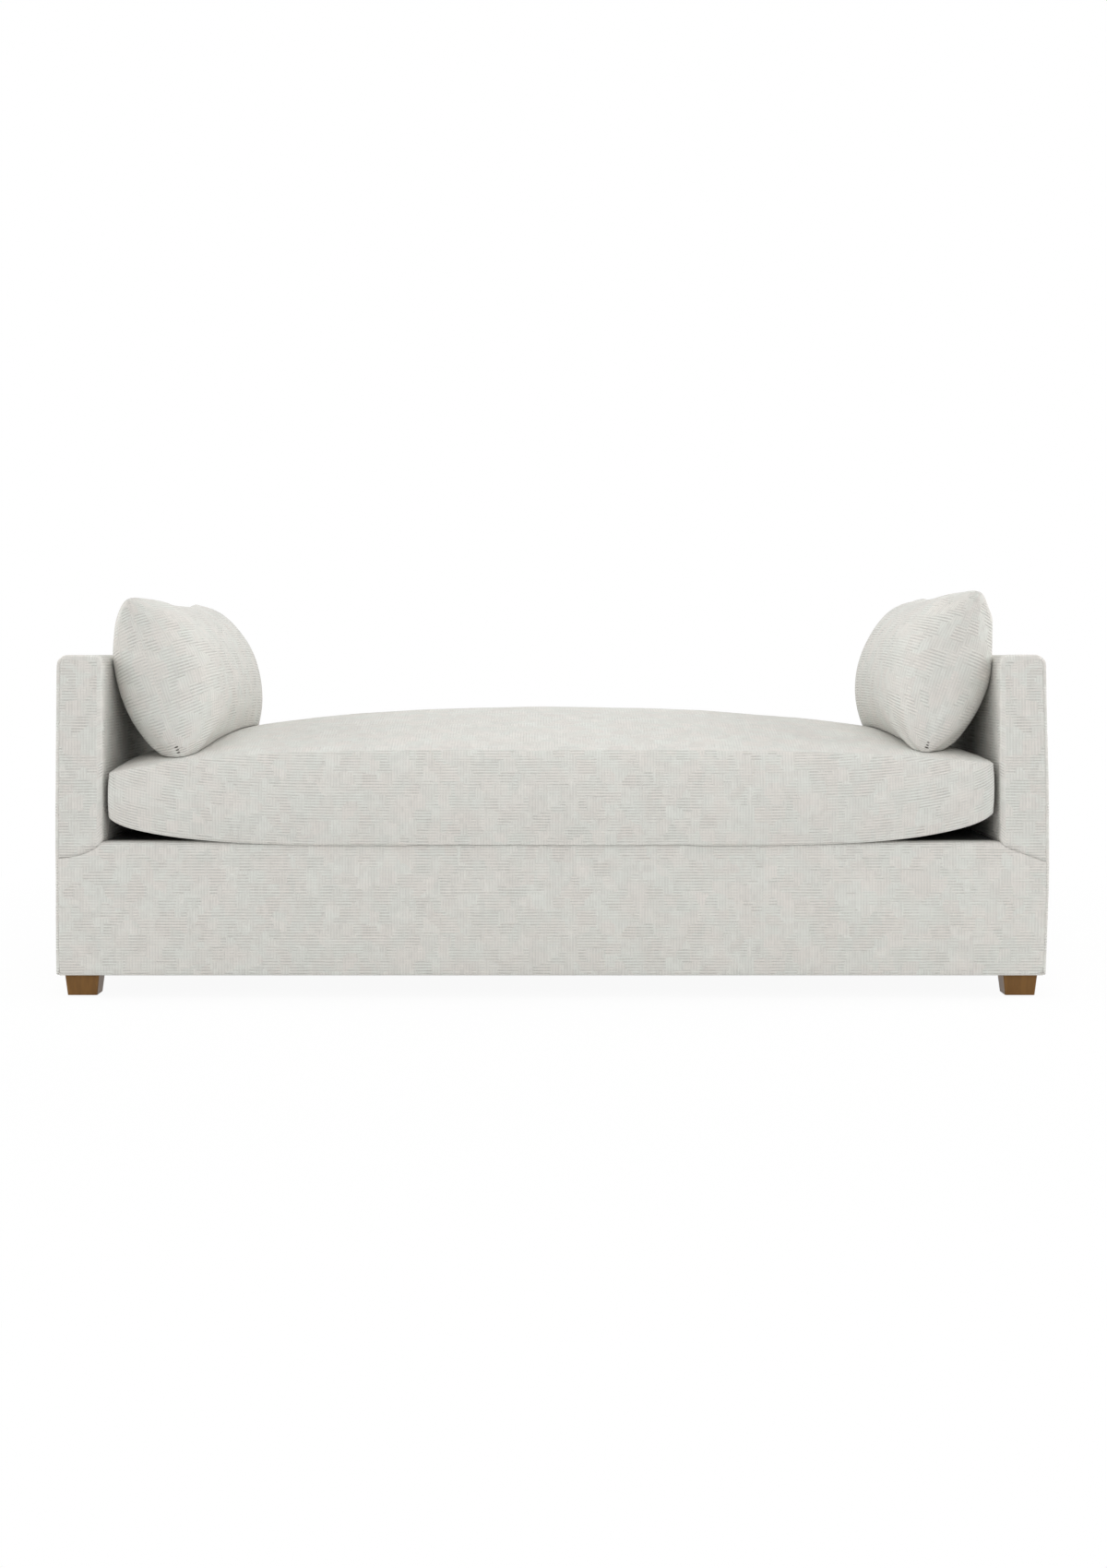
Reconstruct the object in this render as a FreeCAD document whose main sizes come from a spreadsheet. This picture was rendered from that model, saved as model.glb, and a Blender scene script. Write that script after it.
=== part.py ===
"""Backless upholstered daybed: two equal arms, a low rail front and rear, a loose bench cushion and two loose pillows.

Millimetres. +X runs along the length, the front is at -Y, +Z is up.
The origin is on the floor, under the middle of the daybed.
"""

import FreeCAD
import Part
import Sketcher
import math
import operator
import os
from FreeCAD import Placement, Rotation, Vector
from types import SimpleNamespace

# Driving dimensions, kept in the document's sheet

SIZES = {
    # the upholstered outline
    "overall_width": 2134,
    "overall_depth": 965,
    "arm_height": 739,
    "arm_thickness": 100,
    "arm_edge_radius": 22,
    "deck_height": 336,
    "rail_edge_radius": 10,
    # fabric and padding
    "cover_thickness": 2,
    "pad_thickness": 10,
    "layer_gap": 0.2,
    "seam_inset": 8,
    "seam_drop": 35,
    "hem_depth": 28,
    "lip_depth": 60,
    "dust_cover_thickness": 1,
    # timber
    "board_thickness": 25,
    "end_rail_height": 90,
    "cross_rail_offset": 330,
    "cross_rail_height": 140,
    "outside_board_thickness": 3,
    "block_length": 75,
    "block_height": 50,
    "dowel_radius": 5,
    "dowel_length": 60,
    "dowel_edge": 60,
    "dowel_clearance": 0.05,
    "tenon_length": 44,
    "tenon_thickness": 10,
    "tenon_height": 16,
    # webbing
    "strap_width": 76,
    "strap_thickness": 1.5,
    "strap_pitch": 165,
    "weave_gap": 0.3,
    "weave_run": 38,
    "strap_end_margin": 4,
    # feet
    "foot_height": 48,
    "foot_top_width": 74,
    "foot_bottom_width": 64,
    "foot_inset": 16,
    "foot_edge_radius": 4,
    "glide_thickness": 3,
    "glide_radius": 11,
    "bolt_radius": 4,
    "bolt_depth_in_foot": 28,
    "bolt_depth_in_block": 46,
    "thread_clearance": 0.05,
    "nut_barrel_radius": 5.5,
    "nut_barrel_length": 14,
    "nut_flange_radius": 11,
    "nut_flange_thickness": 1.5,
    # bench cushion
    "cushion_end_gap": 12,
    "cushion_half_depth": 470,
    "cushion_crown": 281,
    "cushion_crown_fall": 70,
    "cushion_end_drop": 34,
    "cushion_boxing": 200,
    "cushion_boxing_fall": 40,
    "cushion_end_lift": 40,
    "cushion_corner_flare": 8,
    "cushion_bulge": 22,
    "cushion_end_pinch": 10,
    "rest_gap": 0.3,
    # zip of the bench cushion
    "zip_length": 1400,
    "zip_end_margin": 255,
    "zip_tape_width": 26,
    "zip_tape_thickness": 1.2,
    "zip_chain_width": 6,
    "zip_chain_thickness": 2,
    "slider_length": 14,
    "slider_width": 11,
    "slider_thickness": 2.4,
    "slider_gap": 0.3,
    # pillows
    "pillow_length": 680,
    "pillow_middle_height": 306,
    "pillow_ear_rise": 30,
    "pillow_inner_bulge": 140,
    "pillow_outer_bulge": 112,
    "pillow_set_forward": 100,
    "left_pillow_stand_off": 131,
    "left_pillow_rise": 346,
    "left_pillow_lean": 19,
    "left_pillow_turn": 4,
    "right_pillow_stand_off": 108,
    "right_pillow_rise": 362,
    "right_pillow_lean": 19,
    "right_pillow_turn": 1,
}

SIDES = {"left": -1, "right": 1}
ENDS = {"front": -1, "rear": 1}

doc = FreeCAD.newDocument("daybed")
sheet = doc.addObject("Spreadsheet::Sheet", "sizes")


# Sizes that carry their sheet expression with them


class Size:
    """A length in millimetres together with the sheet expression that gives it."""

    def __init__(self, value, text):
        self.value = value
        self.text = text

    def __add__(self, other):
        return joined(self, "+", other)

    def __radd__(self, other):
        return joined(other, "+", self)

    def __sub__(self, other):
        return joined(self, "-", other)

    def __rsub__(self, other):
        return joined(other, "-", self)

    def __mul__(self, other):
        return joined(self, "*", other)

    def __rmul__(self, other):
        return joined(other, "*", self)

    def __truediv__(self, other):
        return joined(self, "/", other)

    def __neg__(self):
        return joined(-1, "*", self)


OPERATIONS = {"+": operator.add, "-": operator.sub, "*": operator.mul, "/": operator.truediv}


def sized(number):
    return number if isinstance(number, Size) else Size(number, repr(number))


def joined(left, sign, right):
    left, right = sized(left), sized(right)
    return Size(OPERATIONS[sign](left.value, right.value), f"({left.text} {sign} {right.text})")


def leg(hypotenuse, other):
    """The other short side of a right triangle."""
    square = hypotenuse * hypotenuse - other * other
    return Size(math.sqrt(square.value), f"sqrt({square.text})")


def slope_degrees(rise, run):
    ratio = rise / run
    return Size(math.degrees(math.atan(ratio.value)), f"atan({ratio.text})")


def bind(thing, name, size):
    thing.setExpression(name, sized(size).text)


def sheet_sizes():
    """Fills the sheet, one row for each driving dimension, and gives each as a Size."""
    sizes = {}
    for row, (alias, number) in enumerate(SIZES.items(), start=1):
        sheet.set(f"A{row}", alias)
        sheet.set(f"B{row}", str(number))
        sheet.setAlias(f"B{row}", alias)
        sizes[alias] = Size(number, f"sizes.{alias}")
    doc.recompute()
    return SimpleNamespace(**sizes)


S = sheet_sizes()

# Planes that several pieces share

half_width = S.overall_width / 2
half_depth = S.overall_depth / 2
soft_layers = S.cover_thickness + S.pad_thickness
arm_inner = half_width - S.arm_thickness
frame_outer = half_width - soft_layers
frame_inner = arm_inner + soft_layers
frame_front = half_depth - soft_layers
frame_back_of_rail = frame_front - S.board_thickness
frame_bottom = S.foot_height + S.cover_thickness
frame_top = S.arm_height - soft_layers
rail_top = S.deck_height - soft_layers
end_rail_inner = frame_outer - S.board_thickness
strap_stack = 2 * S.strap_thickness + S.weave_gap
foot_centre_x = half_width - S.foot_inset - S.foot_top_width / 2
foot_centre_y = half_depth - S.foot_inset - S.foot_top_width / 2
side_seam = half_width - S.seam_inset
outside_board_face = frame_outer + S.outside_board_thickness

pieces = {}


def piece(label, thing):
    """Registers a finished sub-part under the name of its file."""
    thing.Label = label
    pieces[label] = thing
    return thing


# Shared ways of making a piece


def span(sign, near, far):
    """The stretch from near to far on one side of the middle, lowest first."""
    return (near, far) if sign > 0 else (-far, -near)


def box(name, x, y, z):
    """A rectangular block, from its three stretches."""
    block = doc.addObject("Part::Box", name)
    for axis, edge, (low, high) in zip("xyz", ("Length", "Width", "Height"), (x, y, z)):
        bind(block, edge, high - low)
        bind(block, f"Placement.Base.{axis}", low)
    return block


TURN_TO_AXIS = {"x": Rotation(Vector(0, 1, 0), 90), "y": Rotation(Vector(1, 0, 0), -90), "z": Rotation()}


def rod(name, axis, start, radius, length):
    """A cylinder from its start point along an axis."""
    cylinder = doc.addObject("Part::Cylinder", name)
    cylinder.Placement = Placement(Vector(), TURN_TO_AXIS[axis])
    bind(cylinder, "Radius", radius)
    bind(cylinder, "Height", length)
    for side, place in zip("xyz", start):
        bind(cylinder, f"Placement.Base.{side}", place)
    return cylinder


def group(name, members):
    compound = doc.addObject("Part::Compound", name)
    compound.Links = members
    return compound


def fuse(name, members):
    joint = doc.addObject("Part::MultiFuse", name)
    joint.Shapes = members
    return joint


def cut(name, base, tool):
    difference = doc.addObject("Part::Cut", name)
    difference.Base = base
    difference.Tool = tool
    return difference


def mirrored(name, source, normal):
    mirror = doc.addObject("Part::Mirroring", name)
    mirror.Source = source
    mirror.Normal = normal
    return mirror


def feature(name, shape):
    held = doc.addObject("Part::Feature", name)
    held.Shape = shape
    return held


def outline(body, plane, loops):
    """A sketch of closed loops. A corner is (across, up), or (across, up, centre, radius) where an arc leaves it."""
    sketch = body.newObject("Sketcher::SketchObject", "outline")
    origin_plane = next(o for o in body.Origin.OriginFeatures if o.Role == plane)
    sketch.AttachmentSupport = [(origin_plane, "")]
    sketch.MapMode = "FlatFace"
    for corners in loops:
        add_loop(sketch, corners)
    return sketch


def add_loop(sketch, corners):
    points = [Vector(sized(c[0]).value, sized(c[1]).value, 0) for c in corners]
    edges = []
    for index, corner in enumerate(corners):
        start, end = points[index], points[(index + 1) % len(points)]
        if len(corner) == 2:
            edges.append((sketch.addGeometry(Part.LineSegment(start, end), False), 1, 2))
            continue
        centre = Vector(sized(corner[2][0]).value, sized(corner[2][1]).value, 0)
        towards = ((start + end) * 0.5 - centre).normalize()
        arc = Part.Arc(start, centre + towards * sized(corner[3]).value, end)
        anticlockwise = (start - centre).cross(end - centre).z > 0
        edges.append((sketch.addGeometry(arc, False), *((1, 2) if anticlockwise else (2, 1))))
    for index, corner in enumerate(corners):
        edge, first, last = edges[index]
        following = edges[(index + 1) % len(edges)]
        sketch.addConstraint(Sketcher.Constraint("Coincident", edge, last, following[0], following[1]))
        for kind, place in (("DistanceX", corner[0]), ("DistanceY", corner[1])):
            fixed = Sketcher.Constraint(kind, -1, 1, edge, first, sized(place).value)
            bind(sketch, f"Constraints[{sketch.addConstraint(fixed)}]", place)
        if len(corner) > 2:
            fixed = Sketcher.Constraint("Radius", edge, sized(corner[3]).value)
            bind(sketch, f"Constraints[{sketch.addConstraint(fixed)}]", corner[3])


def extruded(body, kind, plane, loops, length):
    """A pad or pocket of an outline, equally to both sides of the plane."""
    step = body.newObject(f"PartDesign::{kind}", kind.lower())
    step.Profile = outline(body, plane, loops)
    step.Midplane = True
    bind(step, "Length", length)
    doc.recompute()
    return step


def new_body(name):
    return doc.addObject("PartDesign::Body", name)


# Timber frame, doweled, tenoned and glued: rails, arm posts, top rails, end rails, cross rails

rail_middle = frame_front - S.board_thickness / 2
post_middle = (frame_inner + frame_outer) / 2
no_clearance = Size(0, "0")


def dowel_spots():
    """(name, middle) of each dowel: two, one above the other, where a long rail meets a post."""
    for side, x_sign in SIDES.items():
        for end, y_sign in ENDS.items():
            for level, height in (("low", frame_bottom + S.dowel_edge), ("high", rail_top - S.dowel_edge)):
                yield f"{side}_{end}_{level}", (x_sign * frame_inner, y_sign * rail_middle, height)


def dowel_rods(prefix, radius, length):
    rods = []
    for name, (x, y, z) in dowel_spots():
        rods.append(rod(f"{prefix}_{name}", "x", (x - length / 2, y, z), radius, length))
    return rods


def tenon(name, x_sign, y_sign, clearance):
    """The stub on top of a post, or with a clearance the mortise for it in the arm's top rail."""
    along, across = S.tenon_length / 2 + clearance, S.tenon_thickness / 2 + clearance
    x, y = x_sign * post_middle, y_sign * rail_middle
    foot = frame_top - S.board_thickness
    return box(name, (x - along, x + along), (y - across, y + across), (foot, foot + S.tenon_height + clearance))


dowels = piece("dowels", group("dowels", dowel_rods("dowel", S.dowel_radius, S.dowel_length)))
socket_length = S.dowel_length + 2 * S.rest_gap
dowel_sockets = group("dowel_sockets", dowel_rods("socket", S.dowel_radius + S.dowel_clearance, socket_length))

for end, y_sign in ENDS.items():
    rail = box(
        f"{end}_rail_blank",
        (-frame_inner, frame_inner),
        span(y_sign, frame_back_of_rail, frame_front),
        (frame_bottom, rail_top),
    )
    piece(f"{end}_rail", cut(f"{end}_rail", rail, dowel_sockets))

for side, x_sign in SIDES.items():
    cross_rail_x = span(x_sign, S.cross_rail_offset, S.cross_rail_offset + S.board_thickness)
    between_rails = (-frame_back_of_rail, frame_back_of_rail)
    cross_rail_z = (frame_bottom, frame_bottom + S.cross_rail_height)
    piece(f"{side}_cross_rail", box(f"{side}_cross_rail", cross_rail_x, between_rails, cross_rail_z))

    post_x = span(x_sign, frame_inner, frame_outer)
    for end, y_sign in ENDS.items():
        post = box(
            f"{side}_{end}_post_blank",
            post_x,
            span(y_sign, frame_back_of_rail, frame_front),
            (frame_bottom, frame_top - S.board_thickness),
        )
        stub = tenon(f"{side}_{end}_tenon", x_sign, y_sign, no_clearance)
        tenoned = fuse(f"{side}_{end}_post_tenoned", [post, stub])
        piece(f"{side}_{end}_post", cut(f"{side}_{end}_post", tenoned, dowel_sockets))

    top_rail_z = (frame_top - S.board_thickness, frame_top)
    top_rail = box(f"{side}_arm_top_blank", post_x, (-frame_front, frame_front), top_rail_z)
    mortises = group(
        f"{side}_mortises",
        [tenon(f"{side}_{end}_mortise", x_sign, y_sign, S.dowel_clearance) for end, y_sign in ENDS.items()],
    )
    piece(f"{side}_arm_top_rail", cut(f"{side}_arm_top_rail", top_rail, mortises))

    seat_end_x = span(x_sign, frame_inner, frame_inner + S.board_thickness)
    seat_end_z = (rail_top - S.end_rail_height, rail_top)
    piece(f"{side}_seat_end_rail", box(f"{side}_seat_end_rail", seat_end_x, between_rails, seat_end_z))

    bottom_end_x = span(x_sign, end_rail_inner, frame_outer)
    bottom_end_z = (frame_bottom, frame_bottom + S.end_rail_height)
    piece(f"{side}_bottom_end_rail", box(f"{side}_bottom_end_rail", bottom_end_x, between_rails, bottom_end_z))

    board_x = span(x_sign, frame_outer, outside_board_face)
    board_z = (frame_bottom, frame_top)
    piece(f"{side}_outside_board", box(f"{side}_outside_board", board_x, (-frame_front, frame_front), board_z))

# Corner blocks, glued into the corners of the frame, which hold the tee nuts for the feet

nut_seat = frame_bottom + S.block_height
blocks = []
for side, x_sign in SIDES.items():
    for end, y_sign in ENDS.items():
        block_y = span(y_sign, frame_back_of_rail - S.block_length, frame_back_of_rail)
        block_x = span(x_sign, frame_inner, end_rail_inner)
        block = box(f"{side}_{end}_block", block_x, block_y, (frame_bottom, nut_seat))
        nut_hole_start = (x_sign * foot_centre_x, y_sign * foot_centre_y, frame_bottom)
        nut_bore = S.nut_barrel_radius + S.dowel_clearance
        nut_hole = rod(f"{side}_{end}_nut_hole", "z", nut_hole_start, nut_bore, S.block_height)
        blocks.append(cut(f"{side}_{end}_drilled_block", block, nut_hole))
piece("corner_blocks", group("corner_blocks", blocks))

# Feet: tapered square blocks on hanger bolts, with nail-on glides


def foot(label, x_sign, y_sign):
    body = new_body(label)
    height = S.foot_height - S.glide_thickness
    half = S.foot_top_width / 2
    square = [(-half, -half), (half, -half), (half, half), (-half, half)]
    block = body.newObject("PartDesign::Pad", "block")
    block.Profile = outline(body, "XY_Plane", [square])
    block.Reversed = True
    bind(block, "Length", height)
    doc.recompute()
    taper = body.newObject("PartDesign::Draft", "taper")
    taper.Base = (block, [f"Face{n}" for n, face in enumerate(block.Shape.Faces, start=1) if stands_up(face)])
    top = next(n for n, face in enumerate(block.Shape.Faces, start=1) if face.CenterOfMass.z > -height.value / 4)
    taper.NeutralPlane = (block, [f"Face{top}"])
    taper.Reversed = True
    bind(taper, "Angle", slope_degrees((S.foot_top_width - S.foot_bottom_width) / 2, height))
    doc.recompute()
    rounded = body.newObject("PartDesign::Fillet", "rounded")
    rounded.Base = (taper, [f"Edge{n}" for n, edge in enumerate(taper.Shape.Edges, start=1) if runs_down(edge)])
    bind(rounded, "Radius", S.foot_edge_radius)
    doc.recompute()
    drill(body, "bolt_bore", S.bolt_radius + S.thread_clearance, S.bolt_depth_in_foot + S.rest_gap)
    for axis, place in zip("xyz", (x_sign * foot_centre_x, y_sign * foot_centre_y, S.foot_height)):
        bind(body, f"Placement.Base.{axis}", place)
    return piece(label, body)


def stands_up(face):
    return abs(face.normalAt(0, 0).z) < 0.5


def runs_down(edge):
    return abs(edge.tangentAt(edge.FirstParameter).z) > 0.5


def drill(body, name, radius, depth):
    """A round blind hole down the body's own axis."""
    sketch = body.newObject("Sketcher::SketchObject", f"{name}_outline")
    plane = next(o for o in body.Origin.OriginFeatures if o.Role == "XY_Plane")
    sketch.AttachmentSupport = [(plane, "")]
    sketch.MapMode = "FlatFace"
    circle = sketch.addGeometry(Part.Circle(Vector(), Vector(0, 0, 1), radius.value), False)
    sketch.addConstraint(Sketcher.Constraint("Coincident", circle, 3, -1, 1))
    size = sketch.addConstraint(Sketcher.Constraint("Radius", circle, radius.value))
    bind(sketch, f"Constraints[{size}]", radius)
    bore = body.newObject("PartDesign::Pocket", name)
    bore.Profile = sketch
    bind(bore, "Length", depth)
    doc.recompute()


bolts, nuts, glides = [], [], []
for end, y_sign in ENDS.items():
    for side, x_sign in SIDES.items():
        foot(f"{end}_{side}_foot", x_sign, y_sign)
        x, y = x_sign * foot_centre_x, y_sign * foot_centre_y
        name = f"{end}_{side}"

        bolt_start = S.foot_height - S.bolt_depth_in_foot
        bolt_length = S.bolt_depth_in_foot + S.cover_thickness + S.bolt_depth_in_block
        bolts.append(rod(f"{name}_bolt", "z", (x, y, bolt_start), S.bolt_radius, bolt_length))

        barrel_start = (x, y, nut_seat - S.nut_barrel_length)
        flange = rod(f"{name}_flange", "z", (x, y, nut_seat), S.nut_flange_radius, S.nut_flange_thickness)
        barrel = rod(f"{name}_barrel", "z", barrel_start, S.nut_barrel_radius, S.nut_barrel_length)
        thread_length = S.nut_barrel_length + S.nut_flange_thickness
        thread = rod(f"{name}_thread", "z", barrel_start, S.bolt_radius + S.thread_clearance, thread_length)
        nuts.append(cut(f"{name}_nut", fuse(f"{name}_nut_blank", [flange, barrel]), thread))

        glides.append(rod(f"{name}_glide", "z", (x, y, 0), S.glide_radius, S.glide_thickness))
piece("foot_bolts", group("foot_bolts", bolts))
piece("tee_nuts", group("tee_nuts", nuts))
piece("foot_glides", group("foot_glides", glides))

# Seat deck: interlaced webbing, a thin pad, dark decking cloth, and a dust cover below


def woven_strap(reach, crossings, first_up):
    """Side profile of one strap as (along, level) pairs: level 0 lies on the rails, 1 passes over the other strap."""
    half_flat = S.strap_width.value / 2 + S.weave_run.value / 4
    profile = [(-reach, 0)]
    level = 0
    for number, middle in enumerate(crossings):
        wanted = (number + first_up) % 2
        if wanted != level:
            profile += [(middle - half_flat - S.weave_run.value, level), (middle - half_flat, wanted)]
        level = wanted
    if level:
        last = crossings[-1] + half_flat
        profile += [(last, 1), (last + S.weave_run.value, 0)]
    return profile + [(reach, 0)]


def strap_solid(axis, offset, profile):
    """The strap itself, from its profile, along X or along Y."""
    thickness, width = S.strap_thickness.value, S.strap_width.value
    lift = thickness + S.weave_gap.value
    along, across = (Vector(1, 0, 0), Vector(0, 1, 0)) if axis == "x" else (Vector(0, 1, 0), Vector(1, 0, 0))
    lower = [along * a + Vector(0, 0, rail_top.value + lift * level) for a, level in profile]
    upper = [point + Vector(0, 0, thickness) for point in reversed(lower)]
    side = Part.Face(Part.makePolygon(lower + upper + lower[:1]))
    side.translate(across * (offset - width / 2))
    return side.extrude(across * width)


def even_places(reach):
    """Strap positions at the pitch, evenly about the middle, as many as the reach holds."""
    pitch = S.strap_pitch.value
    count = int((2 * reach - S.strap_width.value) // pitch) + 1
    return [(number - (count - 1) / 2) * pitch for number in range(count)]


clear_of_rails = S.strap_width / 2 + S.weave_run * 1.5
strap_x = even_places((frame_inner - clear_of_rails).value)
strap_y = even_places((half_depth - S.lip_depth - clear_of_rails).value)
cross_reach = (frame_front - S.strap_end_margin).value
long_reach = (frame_inner + S.board_thickness - S.strap_end_margin).value
cross_straps = [strap_solid("y", x, woven_strap(cross_reach, strap_y, n % 2)) for n, x in enumerate(strap_x)]
long_straps = [strap_solid("x", y, woven_strap(long_reach, strap_x, (n + 1) % 2)) for n, y in enumerate(strap_y)]
piece("crosswise_webbing", feature("crosswise_webbing", Part.makeCompound(cross_straps)))
piece("lengthwise_webbing", feature("lengthwise_webbing", Part.makeCompound(long_straps)))

deck_half_depth = half_depth - S.lip_depth
deck_pad_half = deck_half_depth - S.layer_gap
piece(
    "deck_pad",
    box(
        "deck_pad",
        (-arm_inner + S.layer_gap, arm_inner - S.layer_gap),
        (-deck_pad_half, deck_pad_half),
        (rail_top + strap_stack + S.layer_gap, S.deck_height - S.cover_thickness - S.layer_gap),
    ),
)
piece(
    "deck_cloth",
    box(
        "deck_cloth",
        (-arm_inner + S.layer_gap, arm_inner - S.layer_gap),
        (-deck_half_depth, deck_half_depth),
        (S.deck_height - S.cover_thickness, S.deck_height),
    ),
)

dust_half_x = half_width - S.hem_depth
dust_half_y = half_depth - S.hem_depth
dust_bottom = frame_bottom - S.dust_cover_thickness
dust_sheet = box("dust_sheet", (-dust_half_x, dust_half_x), (-dust_half_y, dust_half_y), (dust_bottom, frame_bottom))
notch_x = foot_centre_x - S.foot_top_width / 2
notch_y = foot_centre_y - S.foot_top_width / 2
notches = group(
    "notches",
    [
        box(
            f"{side}_{end}_notch",
            span(x_sign, notch_x, half_width),
            span(y_sign, notch_y, half_depth),
            (dust_bottom, frame_bottom),
        )
        for side, x_sign in SIDES.items()
        for end, y_sign in ENDS.items()
    ],
)
piece("dust_cover", cut("dust_cover", dust_sheet, notches))

# Rail upholstery: a padded front panel with a lip over the deck and a hem below, mitred to the arms

mitre_high = S.deck_height - S.rail_edge_radius
mitre_low = S.deck_height - S.seam_drop


def rail_profile(inset, hem, underside):
    """Side profile of the front rail's cover or pad, as corners in the YZ plane."""
    face = -half_depth + inset
    edge_centre = (-half_depth + S.rail_edge_radius, S.deck_height - S.rail_edge_radius)
    outer_radius = S.rail_edge_radius - inset
    lip_end = -half_depth + S.lip_depth
    top = S.deck_height - inset
    bottom = S.foot_height + inset
    return [
        (face, bottom),
        (face, edge_centre[1], edge_centre, outer_radius),
        (edge_centre[0], top),
        (lip_end, top),
        *underside(lip_end),
        *hem(bottom),
    ]


def cover_underside(lip_end):
    """The inner face of the fabric, from the lip back to the panel."""
    edge_centre = (-half_depth + S.rail_edge_radius, S.deck_height - S.rail_edge_radius)
    level = S.deck_height - S.cover_thickness
    return [
        (lip_end, level),
        (edge_centre[0], level, edge_centre, S.rail_edge_radius - S.cover_thickness),
        (-half_depth + S.cover_thickness, edge_centre[1]),
    ]


def cover_hem(bottom):
    hem_end = -half_depth + S.hem_depth
    return [(-half_depth + S.cover_thickness, frame_bottom), (hem_end, frame_bottom), (hem_end, bottom)]


def pad_underside(lip_end):
    """The face that lies on the rail and on the ends of the straps."""
    level = rail_top + S.strap_thickness + S.layer_gap
    return [(lip_end, level), (-frame_front, level)]


def pad_hem(bottom):
    return [(-frame_front, bottom)]


def mitre(x_sign):
    """What the arm takes from the rail's panel: all above the slanting seam at one end."""
    spare = S.seam_inset
    corners = [
        (arm_inner, mitre_high),
        (side_seam, mitre_low),
        (side_seam + spare, mitre_low),
        (side_seam + spare, S.deck_height + spare),
        (arm_inner, S.deck_height + spare),
    ]
    return [(x_sign * across, up) for across, up in corners]


cover_body = new_body("front_rail_cover")
panel = rail_profile(Size(0, "0"), cover_hem, cover_underside)
extruded(cover_body, "Pad", "YZ_Plane", [panel], 2 * side_seam)
extruded(cover_body, "Pocket", "XZ_Plane", [mitre(1), mitre(-1)], S.overall_depth)
piece("front_rail_cover", cover_body)
piece("rear_rail_cover", mirrored("rear_rail_cover", cover_body, Vector(0, 1, 0)))

pad_body = new_body("front_rail_pad")
pad_profile = rail_profile(S.cover_thickness + S.layer_gap, pad_hem, pad_underside)
extruded(pad_body, "Pad", "YZ_Plane", [pad_profile], 2 * (arm_inner - S.layer_gap))
piece("front_rail_pad", pad_body)
piece("rear_rail_pad", mirrored("rear_rail_pad", pad_body, Vector(0, 1, 0)))

# Arm upholstery: a boxed cover over the top, inside and ends, an outside panel, and the pad beneath them

inner_centre = (arm_inner + S.arm_edge_radius, S.arm_height - S.arm_edge_radius)
outer_centre = (half_width - S.arm_edge_radius, S.arm_height - S.arm_edge_radius)


def seam_level(radius):
    """Height at which the rounded outer edge, at this radius, meets the plane of the outside seam."""
    return outer_centre[1] + leg(radius, S.arm_edge_radius - S.seam_inset)


def arm_shell(inset):
    """The rounded top of the arm, from the inside face to the outside seam, as corners in the XZ plane."""
    radius = S.arm_edge_radius - inset
    top = S.arm_height - inset
    return [
        (arm_inner + inset, inner_centre[1], inner_centre, radius),
        (inner_centre[0], top),
        (outer_centre[0], top, outer_centre, radius),
        (side_seam, seam_level(radius)),
    ]


def outside_shell(inset):
    """The outside face and the last of the rounded edge, up to the outside seam."""
    radius = S.arm_edge_radius - inset
    return [(half_width - inset, outer_centre[1], outer_centre, radius), (side_seam, seam_level(radius))]


flat = Size(0, "0")
spare = S.seam_inset

arm_body = new_body("right_arm_cover")
boxed_arm = [(arm_inner, mitre_high), *arm_shell(flat), (side_seam, mitre_low)]
extruded(arm_body, "Pad", "XZ_Plane", [boxed_arm], S.overall_depth)
hollow = [
    (arm_inner + S.cover_thickness, mitre_low - spare),
    *arm_shell(S.cover_thickness),
    (side_seam + spare, seam_level(S.arm_edge_radius - S.cover_thickness)),
    (side_seam + spare, mitre_low - spare),
]
extruded(arm_body, "Pocket", "XZ_Plane", [hollow], S.overall_depth - 2 * S.cover_thickness)
piece("right_arm_cover", arm_body)
piece("left_arm_cover", mirrored("left_arm_cover", arm_body, Vector(1, 0, 0)))

outside_body = new_body("right_outside_cover")
outside = [(side_seam, S.foot_height), (half_width, S.foot_height), *outside_shell(flat)]
extruded(outside_body, "Pad", "XZ_Plane", [outside], S.overall_depth)
hollow = [
    (side_seam - spare, frame_bottom),
    (half_width - S.cover_thickness, frame_bottom),
    *outside_shell(S.cover_thickness),
    (side_seam - spare, seam_level(S.arm_edge_radius - S.cover_thickness)),
]
extruded(outside_body, "Pocket", "XZ_Plane", [hollow], S.overall_depth - 2 * S.cover_thickness)
hem_x = half_width - S.hem_depth
hem = [(hem_x, S.foot_height), (side_seam, S.foot_height), (side_seam, frame_bottom), (hem_x, frame_bottom)]
extruded(outside_body, "Pad", "XZ_Plane", [hem], S.overall_depth - 2 * S.hem_depth)
piece("right_outside_cover", outside_body)
piece("left_outside_cover", mirrored("left_outside_cover", outside_body, Vector(1, 0, 0)))

arm_pad_body = new_body("right_arm_pad")
pad_inset = S.cover_thickness + S.layer_gap
pad_radius = S.arm_edge_radius - pad_inset
arm_pad = [
    (arm_inner + pad_inset, S.foot_height + pad_inset),
    (arm_inner + pad_inset, inner_centre[1], inner_centre, pad_radius),
    (inner_centre[0], S.arm_height - pad_inset),
    (outer_centre[0], S.arm_height - pad_inset, outer_centre, pad_radius),
    (half_width - pad_inset, outer_centre[1]),
    (half_width - pad_inset, S.foot_height + pad_inset),
]
extruded(arm_pad_body, "Pad", "XZ_Plane", [arm_pad], S.overall_depth - 2 * pad_inset)
pad_lower_edge = rail_top + strap_stack + S.layer_gap
frame_space = [
    (arm_inner, S.foot_height),
    (outside_board_face + S.layer_gap, S.foot_height),
    (outside_board_face + S.layer_gap, frame_top),
    (frame_inner, frame_top),
    (frame_inner, pad_lower_edge),
    (arm_inner, pad_lower_edge),
]
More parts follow.
